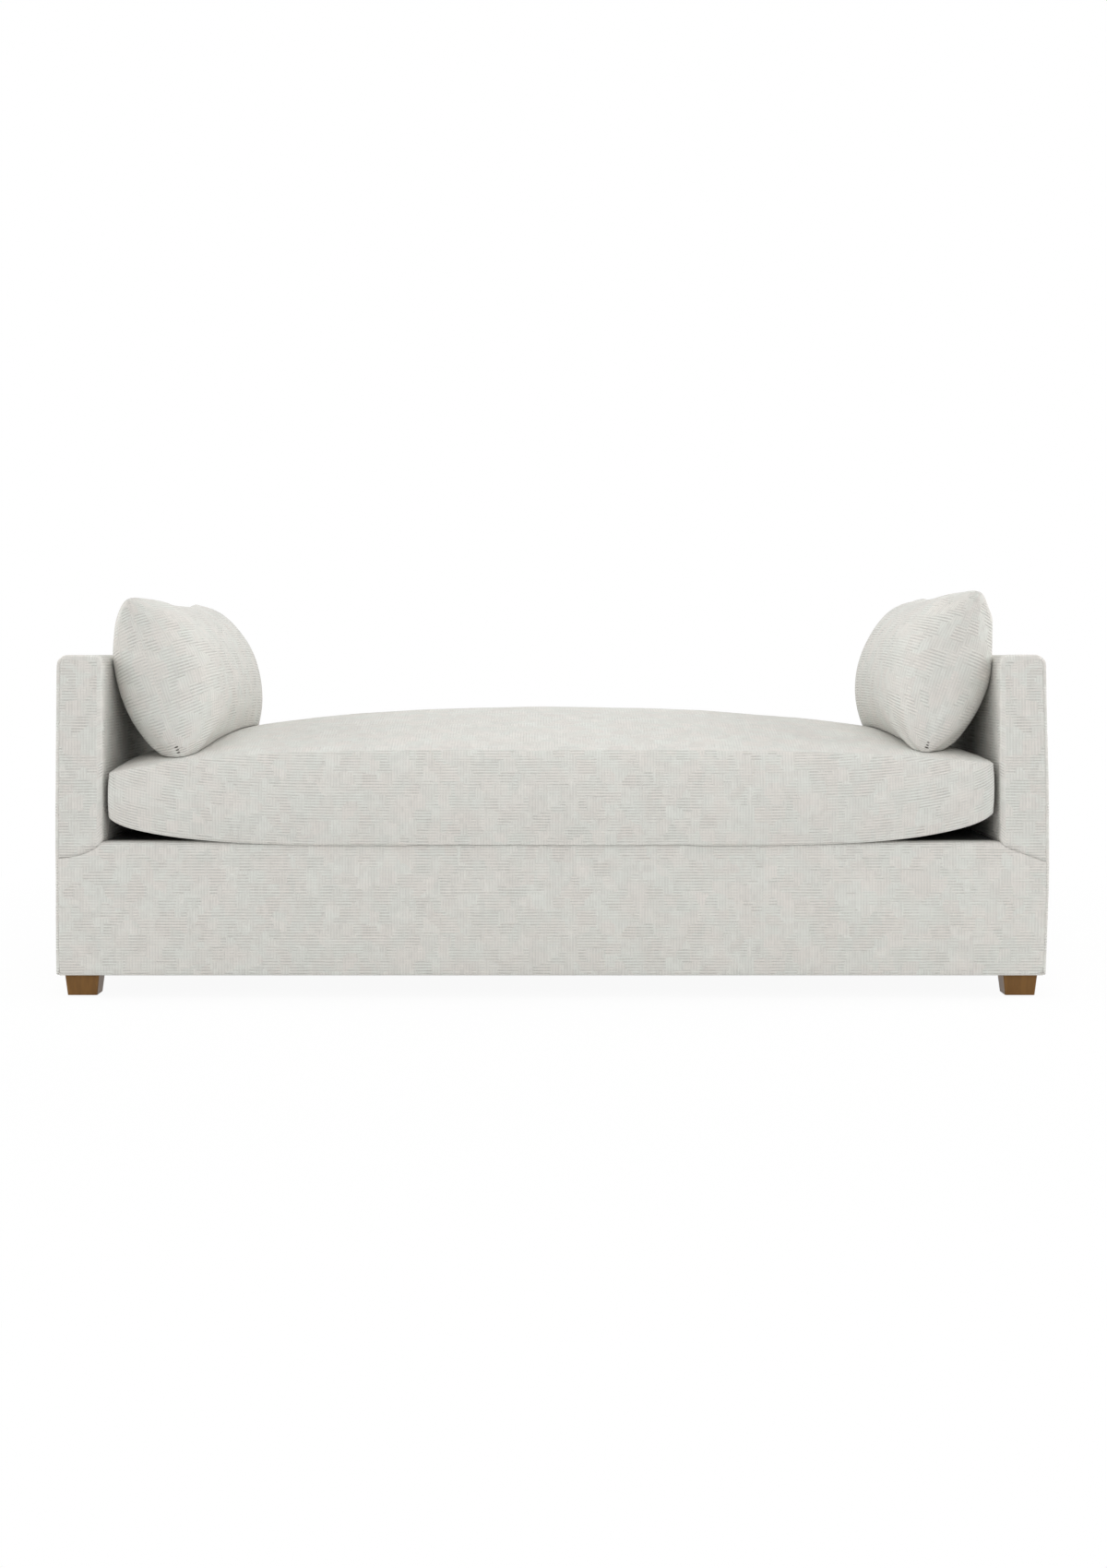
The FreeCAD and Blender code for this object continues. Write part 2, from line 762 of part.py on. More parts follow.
extruded(arm_pad_body, "Pocket", "XZ_Plane", [frame_space], 2 * frame_front)
piece("right_arm_pad", arm_pad_body)
piece("left_arm_pad", mirrored("left_arm_pad", arm_pad_body, Vector(1, 0, 0)))

# Bench cushion: a crowned, box-sided form that thins towards its lifted ends, as a cover around a core

CUSHION_STATIONS = (0.2, 0.4, 0.57, 0.7, 0.8, 0.88, 0.94, 0.975, 1)
CUSHION_SIDE_FACETS = 6
CUSHION_TOP_FACETS = 12
CUSHION_PINCH_POWER = 50
CUSHION_END_POWER = 6
CUSHION_BOXING_POWER = 4


def along_arc(start, through, end, facets):
    """Points along an arc, evenly spaced, without its last."""
    return Part.Arc(start, through, end).toShape().discretize(facets + 1)[:-1]


def skin_faces(corners):
    """One flat face where the four corners lie in a plane, otherwise two."""
    first, second, third, fourth = corners
    normal = (second - first).cross(third - first)
    flat = abs(normal.normalize().dot(fourth - first)) < 1e-6
    outlines = [corners] if flat else [(first, second, third), (first, third, fourth)]
    return [Part.Face(Part.makePolygon([*points, points[0]])) for points in outlines]


def solid_through(rings):
    """A closed solid through rings with as many points each, capped flat at both ends."""
    faces = [Part.Face(Part.makePolygon(ring + ring[:1])) for ring in (rings[0], rings[-1])]
    for ring, following in zip(rings, rings[1:]):
        for index in range(len(ring)):
            after = (index + 1) % len(ring)
            faces += skin_faces((ring[index], ring[after], following[after], following[index]))
    shell = Part.makeShell(faces)
    shell.sewShape()
    solid = Part.makeSolid(shell)
    if solid.Volume < 0:
        solid.reverse()
    return solid


def cushion_ring(station, inset):
    """One cross-section of the bench cushion: flat bottom, bulging front and rear, crowned top."""
    off_middle = abs(station)
    at_end = off_middle**CUSHION_END_POWER
    pinch = inset + S.cushion_end_pinch.value * off_middle**CUSHION_PINCH_POWER
    x = station * ((arm_inner - S.cushion_end_gap).value - inset)
    floor = S.deck_height.value + S.rest_gap.value
    bottom = floor + S.cushion_end_lift.value * at_end + pinch
    seam = floor + S.cushion_boxing.value - S.cushion_boxing_fall.value * off_middle**CUSHION_BOXING_POWER - pinch
    fall = S.cushion_crown_fall.value * off_middle**2 + S.cushion_end_drop.value * at_end
    crown = floor + S.cushion_crown.value - fall - pinch
    half = S.cushion_half_depth.value + S.cushion_corner_flare.value * at_end - pinch
    bulge = S.cushion_bulge.value * (1 - at_end / 2)
    waist = (bottom + seam) / 2
    front_low, front_high = Vector(x, -half, bottom), Vector(x, -half, seam)
    rear_low, rear_high = Vector(x, half, bottom), Vector(x, half, seam)
    return (
        along_arc(front_low, Vector(x, -half - bulge, waist), front_high, CUSHION_SIDE_FACETS)
        + along_arc(front_high, Vector(x, 0, crown), rear_high, CUSHION_TOP_FACETS)
        + along_arc(rear_high, Vector(x, half + bulge, waist), rear_low, CUSHION_SIDE_FACETS)
        + [rear_low]
    )


def cushion_solid(inset):
    stations = [-place for place in reversed(CUSHION_STATIONS)] + [0, *CUSHION_STATIONS]
    return solid_through([cushion_ring(station, inset) for station in stations])


thickness, gap = S.cover_thickness.value, S.layer_gap.value
cushion_shape = cushion_solid(0).cut(cushion_solid(thickness))
piece("seat_cushion_cover", feature("seat_cushion_cover", cushion_shape))
piece("seat_cushion_core", feature("seat_cushion_core", cushion_solid(thickness + gap)))

# Zip in the rear boxing of the bench cushion: tape, chain and a slider that runs along them

cushion_floor = S.deck_height + S.rest_gap
zip_level = cushion_floor + S.cushion_boxing / 2
tape_face = S.cushion_half_depth + S.cushion_bulge + S.rest_gap
chain_face = tape_face + S.zip_tape_thickness
chain_outside = chain_face + S.zip_chain_thickness
zip_end = arm_inner - S.cushion_end_gap - S.zip_end_margin
zip_x = (zip_end - S.zip_length, zip_end)
tape_z = (zip_level - S.zip_tape_width / 2, zip_level + S.zip_tape_width / 2)
chain_z = (zip_level - S.zip_chain_width / 2, zip_level + S.zip_chain_width / 2)
piece("seat_zip_tape", box("seat_zip_tape", zip_x, (tape_face, chain_face), tape_z))
piece("seat_zip_chain", box("seat_zip_chain", zip_x, (chain_face, chain_outside), chain_z))

slider_body = new_body("seat_zip_slider")
tail = -S.slider_length / 2
nose = S.slider_length / 2
half_slider = S.slider_width / 2
shield = [(tail, -half_slider), (0, -half_slider), (nose, 0), (0, half_slider), (tail, half_slider)]
plate = slider_body.newObject("PartDesign::Pad", "plate")
plate.Profile = outline(slider_body, "XZ_Plane", [shield])
plate.Reversed = True
bind(plate, "Length", S.slider_thickness)
doc.recompute()
slider_start = zip_end - S.slider_length
for axis, place in zip("xyz", (slider_start, chain_outside + S.slider_gap, zip_level)):
    bind(slider_body, f"Placement.Base.{axis}", place)
piece("seat_zip_slider", slider_body)

# Pillows: fat knife-edged forms with ears at the corners, flattened where they rest on the cushion and the arm

PILLOW_STATIONS = (0.25, 0.5, 0.7, 0.85, 0.95, 1)
PILLOW_FACETS = 10
PILLOW_END_SHARE = 0.94
PILLOW_FULLNESS_POWER = 5
PILLOW_EAR_POWER = 4


def pillow_ring(station, inset):
    """One lens-shaped cross-section, in the pillow's own frame: X towards the seat, Y along it, Z up its height."""
    off_middle = abs(station)
    y = station * (S.pillow_length.value / 2 - inset)
    half = S.pillow_middle_height.value / 2 + S.pillow_ear_rise.value * off_middle**PILLOW_EAR_POWER - inset
    fullness = math.sqrt(1 - PILLOW_END_SHARE * off_middle**PILLOW_FULLNESS_POWER)
    inner = S.pillow_inner_bulge.value * fullness - inset
    outer = S.pillow_outer_bulge.value * fullness - inset
    low, high = Vector(0, y, -half), Vector(0, y, half)
    inner_side = along_arc(low, Vector(inner, y, 0), high, PILLOW_FACETS)
    return inner_side + along_arc(high, Vector(-outer, y, 0), low, PILLOW_FACETS)


def pillow_solid(side, inset):
    """The pillow in place, less the space that the cushion and the arm take, with its rest gap and this inset."""
    sign = SIDES[side]
    clear = S.rest_gap.value + inset
    lean, turn = getattr(S, f"{side}_pillow_lean").value, getattr(S, f"{side}_pillow_turn").value
    stand_off, rise = getattr(S, f"{side}_pillow_stand_off").value, getattr(S, f"{side}_pillow_rise").value
    stations = [-place for place in reversed(PILLOW_STATIONS)] + [0, *PILLOW_STATIONS]
    solid = solid_through([pillow_ring(station, inset) for station in stations])
    if sign > 0:
        solid = solid.mirror(Vector(), Vector(1, 0, 0))
    leaned = Rotation(Vector(0, 1, 0), sign * lean)
    turned = Rotation(Vector(0, 0, 1), sign * turn)
    middle = Vector(
        sign * (arm_inner.value - stand_off), -S.pillow_set_forward.value, S.deck_height.value + rise
    )
    solid.Placement = Placement(middle, turned * leaned)
    arm_low = Vector(arm_inner.value - clear, -half_depth.value, S.deck_height.value)
    arm = Part.makeBox(S.arm_thickness.value, S.overall_depth.value, S.arm_height.value, arm_low)
    if sign < 0:
        arm = arm.mirror(Vector(), Vector(1, 0, 0))
    return solid.cut(cushion_solid(-clear)).cut(arm)


for side in SIDES:
    cover = pillow_solid(side, 0).cut(pillow_solid(side, thickness))
    piece(f"{side}_pillow_cover", feature(f"{side}_pillow_cover", cover))
    piece(f"{side}_pillow_fill", feature(f"{side}_pillow_fill", pillow_solid(side, thickness + gap)))

# Checks, then one file for each sub-part

doc.recompute()


def failed():
    """What is wrong with the document or with a sub-part's shape, in words."""
    for thing in doc.Objects:
        if "Invalid" in thing.State or "Error" in thing.State:
            yield f"{thing.Label} failed: {thing.State}"
    for label, thing in pieces.items():
        if thing.Shape.isNull() or not thing.Shape.isValid() or not thing.Shape.Solids:
            yield f"{label} has no valid solid"


faults = list(failed())
if faults:
    raise RuntimeError("; ".join(faults))
os.makedirs("parts", exist_ok=True)
for label, thing in pieces.items():
    thing.Shape.exportStep(f"parts/{label}.step")
    print(f"{label}: {len(thing.Shape.Solids)} solid(s), {thing.Shape.Volume / 1e6:.3f} litres")
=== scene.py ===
import bmesh
import bpy
import math
import numpy as np
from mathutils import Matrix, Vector, noise
from mathutils.bvhtree import BVHTree
from mathutils.kdtree import KDTree


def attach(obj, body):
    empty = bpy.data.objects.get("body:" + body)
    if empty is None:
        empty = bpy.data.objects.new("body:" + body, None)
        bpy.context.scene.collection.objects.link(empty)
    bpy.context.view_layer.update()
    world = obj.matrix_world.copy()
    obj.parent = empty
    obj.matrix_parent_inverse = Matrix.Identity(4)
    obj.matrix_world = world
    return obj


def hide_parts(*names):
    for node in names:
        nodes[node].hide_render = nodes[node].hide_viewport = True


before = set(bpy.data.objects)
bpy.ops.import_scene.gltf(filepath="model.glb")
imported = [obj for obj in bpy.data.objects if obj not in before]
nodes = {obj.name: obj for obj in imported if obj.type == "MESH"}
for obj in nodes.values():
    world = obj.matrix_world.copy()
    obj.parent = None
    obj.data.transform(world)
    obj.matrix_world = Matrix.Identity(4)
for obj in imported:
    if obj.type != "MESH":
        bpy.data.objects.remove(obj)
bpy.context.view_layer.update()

# Timber frame: planed softwood rails, posts, end rails and cross rails, tenoned, doweled and glued into one
# box. The upholstery hides it. The grain of each board runs along its length, and hardboard backs the outside
# panels.


class Tone:
    """A value, colour or vector of one finish. Arithmetic on values adds Math nodes to that finish."""

    def __init__(self, tree, socket):
        self.tree, self.socket = tree, socket

    def node(self, kind, settings={}, sockets={}, output=0):
        """Adds a node of any kind: its settings first, then the values or links of its sockets."""
        made = self.tree.nodes.new("ShaderNode" + kind)
        for name, setting in settings.items():
            setattr(made, name, setting)
        for name, value in sockets.items():
            if isinstance(value, Tone):
                self.tree.links.new(value.socket, made.inputs[name])
            else:
                made.inputs[name].default_value = value
        return Tone(self.tree, made.outputs[output])

    def math(self, operation, *values):
        return self.node("Math", {"operation": operation}, dict(enumerate(values)))

    def apply(self, operation):
        return self.math(operation, self)

    def __add__(self, other):
        return self.math("ADD", self, other)

    def __sub__(self, other):
        return self.math("SUBTRACT", self, other)

    def __rsub__(self, other):
        return self.math("SUBTRACT", other, self)

    def __mul__(self, other):
        return self.math("MULTIPLY", self, other)

    def __truediv__(self, other):
        return self.math("DIVIDE", self, other)

    __radd__, __rmul__ = __add__, __mul__

    def stretched(self, along, across, up):
        return self.node("VectorMath", {"operation": "MULTIPLY"}, {0: self, 1: (along, across, up)})

    def split(self, axes):
        """The parts of a vector along its axes."""
        return (self.node("SeparateXYZ", {}, {"Vector": self}, axis) for axis in axes)

    def wave(self, pitch, shape="SINE"):
        """A wave that repeats at a pitch."""
        return (self * (math.tau / pitch)).apply(shape)

    def cloudy(self, scale, detail=2.0, roughness=0.5):
        values = {"Vector": self, "Scale": scale, "Detail": detail, "Roughness": roughness}
        return self.node("TexNoise", {}, values)

    def ease(self, low, high):
        """0 below low, 1 above high, smooth between."""
        values = {"Value": self, "From Min": low, "From Max": high}
        return self.node("MapRange", {"interpolation_type": "SMOOTHSTEP"}, values)

    def between(self, low, high):
        """The colour that goes from low to high as this value goes from 0 to 1."""
        return self.node("Mix", {"data_type": "RGBA"}, {0: self, 6: low, 7: high}, 2)

    def raised(self, strength, depth):
        """The normal of a surface that this value raises."""
        return self.node("Bump", {}, {"Strength": strength, "Distance": depth, "Height": self})


def dye(*levels):
    """A colour by its levels from 0 to 255, as they show."""
    return (*(((level / 255 + 0.055) / 1.055) ** 2.4 for level in levels), 1.0)


def finished(name, look, constants):
    """A material: look gives what varies over the surface, constants what is the same all over."""
    material = bpy.data.materials.new(name)
    material.use_nodes = True
    tree = material.node_tree
    shader = tree.nodes["Principled BSDF"]
    for socket, value in constants.items():
        shader.inputs[socket].default_value = value
    place = Tone(tree, tree.nodes.new("ShaderNodeTexCoord").outputs["Object"])
    for socket, tone in look(place).items():
        tree.links.new(tone.socket, shader.inputs[socket])
    return material


def coat(material, *names):
    """Gives solids of the CAD their finish."""
    for name in names:
        nodes[name].data.materials.clear()
        nodes[name].data.materials.append(material)


SIDES, ENDS = ("left", "right"), ("front", "rear")
ACROSS_GRAIN, ALONG_GRAIN = 34.0, 1.7
EARLY_WOOD, LATE_WOOD = dye(214, 180, 128), dye(178, 134, 84)


def timber(along):
    """Straight-grained wood with its grain along axis 0, 1 or 2."""
    draw = [ACROSS_GRAIN] * 3
    draw[along] = ALONG_GRAIN

    def look(place):
        grain = place.stretched(*draw)
        sway = grain.cloudy(1.0, 3.0)
        fibre = grain.cloudy(13.0, 4.0, 0.7)
        growth = (sway * 40.0).apply("SINE") * 0.28 + 0.5
        tone = growth * 0.6 + fibre * 0.4
        return {
            "Base Color": tone.between(EARLY_WOOD, LATE_WOOD),
            "Roughness": fibre * 0.25 + 0.42,
            "Normal": fibre.raised(0.35, 0.0004),
        }

    return look


softwood = [finished(f"softwood_{axis}", timber(axis), {}) for axis in range(3)]
crosswise_boards = ("arm_top_rail", "bottom_end_rail", "seat_end_rail", "cross_rail")
coat(softwood[0], "front_rail", "rear_rail")
coat(softwood[1], *(f"{side}_{board}" for side in SIDES for board in crosswise_boards), "dowels")
coat(softwood[2], *(f"{side}_{end}_post" for side in SIDES for end in ENDS), "corner_blocks")


def pressed_fibre(place):
    speck = place.cloudy(420.0, 3.0, 0.8)
    return {
        "Base Color": (speck * 0.7 + place.cloudy(30.0) * 0.3).between(dye(122, 88, 58), dye(84, 58, 37)),
        "Roughness": speck * 0.2 + 0.5,
        "Normal": speck.raised(0.2, 0.0002),
    }


coat(finished("hardboard", pressed_fibre, {}), "left_outside_board", "right_outside_board")

# Feet: tapered square blocks of stained hardwood under a satin lacquer, with softly broken edges.
# A hanger bolt screws each into a tee nut in its corner block, and a moulded glide is nailed on below.


def stained_foot(place):
    grain = place.stretched(60.0, 60.0, 5.0)
    sway = grain.cloudy(0.8, 3.0)
    pore = grain.cloudy(9.0, 5.0, 0.75)
    figure = (sway * 26.0).apply("SINE") * 0.3 + 0.5
    tone = figure * 0.5 + pore * 0.5
    return {
        "Base Color": tone.between(dye(132, 94, 44), dye(102, 69, 28)),
        "Roughness": pore * 0.2 + 0.34,
        "Normal": pore.raised(0.18, 0.0003),
    }


satin_lacquer = {"Specular IOR Level": 0.25, "Coat Weight": 0.05, "Coat Roughness": 0.25}
foot_stain = finished("stained_hardwood", stained_foot, satin_lacquer)
coat(foot_stain, *(f"{end}_{side}_foot" for end in ENDS for side in SIDES))


def zinc_plate(place):
    streak = place.stretched(90.0, 90.0, 900.0).cloudy(1.0, 4.0, 0.7)
    return {
        "Base Color": streak.between(dye(150, 152, 152), dye(196, 197, 194)),
        "Roughness": streak * 0.25 + 0.25,
        "Normal": streak.raised(0.1, 0.0001),
    }


def moulded_nylon(place):
    grain = place.cloudy(900.0, 2.0)
    return {
        "Base Color": grain.between(dye(52, 47, 43), dye(66, 61, 56)),
        "Roughness": grain * 0.2 + 0.4,
        "Normal": grain.raised(0.15, 0.0001),
    }


coat(finished("zinc_plated_steel", zinc_plate, {"Metallic": 1.0}), "foot_bolts", "tee_nuts")
coat(finished("glide_nylon", moulded_nylon, {}), "foot_glides")

# Seat deck: elastic webbing straps, stapled to the rails and interlaced over and under, carry a thin pad
# under decking cloth, whose near-black colour is partly painted shade for the gaps under the cushion's ends.
# A black non-woven dust cover closes the base from below, notched round the feet.

ARM_INSIDE, HALF_WIDTH, HALF_DEPTH = 0.967, 1.067, 0.4825
DECK, BASE_BOTTOM = 0.336, 0.048
LIP = 0.060
RAIL_TOP = 0.324
STRAP_WIDTH, STRAP_THICKNESS, STRAP_PITCH, STRAP_LIFT = 0.076, 0.0015, 0.165, 0.0018
STRAP_SLOPE, STRAP_STEP = 0.038, 0.004
CROSSWISE_STRAPS, LENGTHWISE_STRAPS = 11, 4
CROSSWISE_REACH, LENGTHWISE_REACH = 0.4665, 1.0
CORD_PITCH, PICK_PITCH, BAND_PITCH = 0.0038, 0.0022, 0.038


def sewn(name, panels, material, inside):
    """One fabric piece from panels: grids of points and their places on the cloth, facing out from inside."""
    points, threads, faces, count = [], [], [], 0
    for grid, cloth in panels:
        index = count + np.arange(grid.shape[0] * grid.shape[1]).reshape(grid.shape[:2])
        quads = np.stack([index[:-1, :-1], index[1:, :-1], index[1:, 1:], index[:-1, 1:]], -1).reshape(-1, 4)
        corner = grid.reshape(-1, 3)[quads - count]
        facing = np.cross(corner[:, 2] - corner[:, 0], corner[:, 3] - corner[:, 1])
        if ((corner.mean(1) - np.array(inside)) * facing).sum() < 0:
            quads = quads[:, ::-1]
        points.append(grid.reshape(-1, 3))
        threads.append(cloth.reshape(-1, 2))
        faces.append(quads)
        count += len(points[-1])
    points, threads, faces = map(np.concatenate, (points, threads, faces))
    mesh = bpy.data.meshes.new(name)
    mesh.from_pydata(points.tolist(), [], faces.tolist())
    places = np.pad(threads[faces.ravel()], ((0, 0), (0, 1)))
    mesh.attributes.new("weave", "FLOAT_VECTOR", "CORNER").data.foreach_set("vector", places.ravel())
    welded = bmesh.new()
    welded.from_mesh(mesh)
    bmesh.ops.remove_doubles(welded, verts=welded.verts, dist=2e-5)
    welded.to_mesh(mesh)
    welded.free()
    mesh.shade_smooth()
    mesh.materials.append(material)
    piece = bpy.data.objects.new(name, mesh)
    bpy.context.scene.collection.objects.link(piece)
    return piece


def flat_cloth(grid, along, across):
    """Places on the cloth of a grid, by two of its axes."""
    return grid[..., [along, across]]


def thicken(piece, thickness):
    """Gives a fabric piece its thickness, inwards."""
    layer = piece.modifiers.new("thickness", "SOLIDIFY")
    layer.thickness, layer.offset = thickness, -1.0


def crossed(along, across):
    """Two grids that cross every place along with every place across."""
    return np.meshgrid(along, across, indexing="ij")


def on_cloth(place):
    """The place on a fabric piece's cloth, and its two directions."""
    thread = place.node("Attribute", {"attribute_name": "weave"}, {}, "Vector")
    return thread, *thread.split("XY")


def webbing_weave(place):
    _, across, along = on_cloth(place)
    height = across.wave(CORD_PITCH) * along.wave(PICK_PITCH)
    band = across.wave(BAND_PITCH, "COSINE").ease(0.75, 0.95)
    return {
        "Base Color": (band * 0.7 + height * 0.15 + 0.15).between(dye(40, 40, 41), dye(112, 104, 88)),
        "Roughness": height * 0.08 + 0.75,
        "Normal": height.raised(0.5, 0.0005),
    }


def strap_level(along, crossings, first_up):
    """How far each point of a strap is up: 0 lies on the rails, 1 passes over the other strap."""
    half_flat = STRAP_WIDTH / 2 + STRAP_SLOPE / 4
    level = np.zeros_like(along)
    for number, middle in enumerate(crossings):
        if (number + first_up) % 2:
            reach = np.clip((half_flat + STRAP_SLOPE - np.abs(along - middle)) / STRAP_SLOPE, 0, 1)
            level = np.maximum(level, reach * reach * (3 - 2 * reach))
    return level


strap_x = (np.arange(CROSSWISE_STRAPS) - (CROSSWISE_STRAPS - 1) / 2) * STRAP_PITCH
strap_y = (np.arange(LENGTHWISE_STRAPS) - (LENGTHWISE_STRAPS - 1) / 2) * STRAP_PITCH
strap_across = np.linspace(-STRAP_WIDTH / 2, STRAP_WIDTH / 2, 9)
webbing_finish = finished("elastic_webbing", webbing_weave, {"Specular IOR Level": 0.3})
for name, reach, places, crossings, first in (
    ("crosswise", CROSSWISE_REACH, strap_x, strap_y, 0),
    ("lengthwise", LENGTHWISE_REACH, strap_y, strap_x, 1),
):
    straps = []
    for number, middle in enumerate(places):
        along, across = crossed(np.linspace(-reach, reach, int(reach / STRAP_STEP)), strap_across)
        level = strap_level(along, crossings, (number + first) % 2)
        height = RAIL_TOP + STRAP_THICKNESS + STRAP_LIFT * level
        spread = across + middle
        grid = np.stack([spread, along, height] if name == "crosswise" else [along, spread, height], -1)
        straps.append((grid, np.stack([across, along], -1)))
    webbing = sewn(f"{name}_straps", straps, webbing_finish, (0.0, 0.0, 0.0))
    thicken(webbing, STRAP_THICKNESS)
    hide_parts(f"{name}_webbing")
    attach(webbing, "base")


def plain_dark_cloth(pitch, deep, light):
    """A plain weave of two dark yarns."""

    def look(place):
        thread, along, across = on_cloth(place)
        weave = along.wave(pitch) * across.wave(pitch)
        lint = thread.cloudy(60.0, 4.0, 0.7)
        return {
            "Base Color": (weave * 0.2 + lint * 0.6 + 0.1).between(deep, light),
            "Roughness": lint * 0.1 + 0.85,
            "Normal": (weave + lint).raised(0.4, 0.0004),
        }

    return look


CLOTH_X, CLOTH_Y, CLOTH_UNDER = ARM_INSIDE - 0.0002, HALF_DEPTH - LIP, 0.0002
CLOTH_BORDER, CLOTH_SAG, CLOTH_QUILT, CLOTH_THICKNESS = 0.1, 0.0012, 0.0008, 0.0015
DECKING_PITCH, DUST_PITCH = 0.0011, 0.0016
deck_x, deck_y = crossed(np.linspace(-CLOTH_X, CLOTH_X, 160), np.linspace(-CLOTH_Y, CLOTH_Y, 72))
border = np.minimum(CLOTH_X - np.abs(deck_x), CLOTH_Y - np.abs(deck_y)) / CLOTH_BORDER
quilt = CLOTH_QUILT * np.cos(deck_x * math.tau / STRAP_PITCH) * np.cos(deck_y * math.tau / STRAP_PITCH)
deck_z = DECK - CLOTH_UNDER - border.clip(0, 1) * (CLOTH_SAG + quilt)
deck_grid = np.stack([deck_x, deck_y, deck_z], -1)
# The decking's near-black colours are partly the cloth's own dark tone and partly painted shade: they stand
# for the deep shadow in the gaps under the cushion's lifted ends.
decking_and_painted_shade = plain_dark_cloth(DECKING_PITCH, dye(34, 36, 33), dye(50, 52, 48))
deck = sewn(
    "decking_cloth",
    [(deck_grid, flat_cloth(deck_grid, 0, 1))],
    finished("dark_decking_and_painted_shade", decking_and_painted_shade, {"Sheen Weight": 0.05}),
    (0.0, 0.0, 0.0),
)
thicken(deck, CLOTH_THICKNESS)
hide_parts("deck_cloth", "deck_pad")
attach(deck, "base")

DUST_X, DUST_Y, DUST_LEVEL = 1.039, 0.4545, 0.0495
DUST_BORDER, DUST_SAG = 0.3, 0.004
NOTCH_X, NOTCH_Y = 0.977, 0.3925
dust_panels = []
for x_range, y_range, columns, rows in (
    ((-NOTCH_X, NOTCH_X), (-DUST_Y, DUST_Y), 90, 44),
    ((-DUST_X, -NOTCH_X), (-NOTCH_Y, NOTCH_Y), 4, 38),
    ((NOTCH_X, DUST_X), (-NOTCH_Y, NOTCH_Y), 4, 38),
):
    dust_x, dust_y = crossed(np.linspace(*x_range, columns), np.linspace(*y_range, rows))
    border = np.minimum(DUST_X - np.abs(dust_x), DUST_Y - np.abs(dust_y)) / DUST_BORDER
    dust_grid = np.stack([dust_x, dust_y, DUST_LEVEL - DUST_SAG * border.clip(0, 1)], -1)
    dust_panels.append((dust_grid, flat_cloth(dust_grid, 0, 1)))
non_woven = plain_dark_cloth(DUST_PITCH, dye(26, 26, 27), dye(44, 44, 45))
dust = sewn("dust_cloth", dust_panels, finished("black_non_woven", non_woven, {}), (0.0, 0.0, 1.0))
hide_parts("dust_cover")
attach(dust, "base")

# Rail upholstery, front and rear: ivory ribbed jacquard over wadding, with a lip sewn to the decking cloth
# above and a stapled hem below. Its ends run under the arms to the outer seams, and mitre seams join it to
# the arm covers.

SOFT_EDGE, HEM_EDGE, HEM_DEPTH = 0.012, 0.004, 0.028
SEAM_INSET = 0.008
ARM_TOP = 0.739
LEFT_FULLNESS, RIGHT_FULLNESS = 0.003, 0.0075
ARM_THICKNESS = HALF_WIDTH - ARM_INSIDE
SEAM_OUT = ARM_THICKNESS - SEAM_INSET
MITRES = {-1: ((0.046, 0.302), (SEAM_OUT, 0.3)), 1: ((0.052, 0.3085), (SEAM_OUT, 0.292))}
RIB_PITCH = 0.0062
REPEAT_ALONG, REPEAT_ACROSS = 0.080, 0.096
STEP_ALONG, STEP_ACROSS = 0.009, 2 * RIB_PITCH
CHECK_PITCH, RING_RADIUS = 0.0042, 0.0245
RIB_SHADE, COOL_IVORY, WARM_IVORY = dye(190, 188, 183), dye(223, 225, 219), dye(227, 223, 217)
RAIL_CROWN, WADDING_WAVES = 0.0025, (0.16, 0.0011, 3.0)
SEAM_VALLEYS = ((0.0014, 0.0018), (0.0008, 0.011))
FULL_FROM, FULL_WITHIN = 0.03, 0.06
FACE_HEIGHT, FACE_ROW, WING_COLUMN = 0.27, 0.012, 0.009
LIP_TUCK, LIP_DROP = 0.001, 0.0015
HELD_BELOW, HELD_ABOVE = BASE_BOTTOM + 0.001, DECK - 0.0008
RAIL_MIDDLE_Y, RAIL_MIDDLE_Z = 0.44, 0.19
FABRIC_THICKNESS, TINY = 0.002, 1e-9


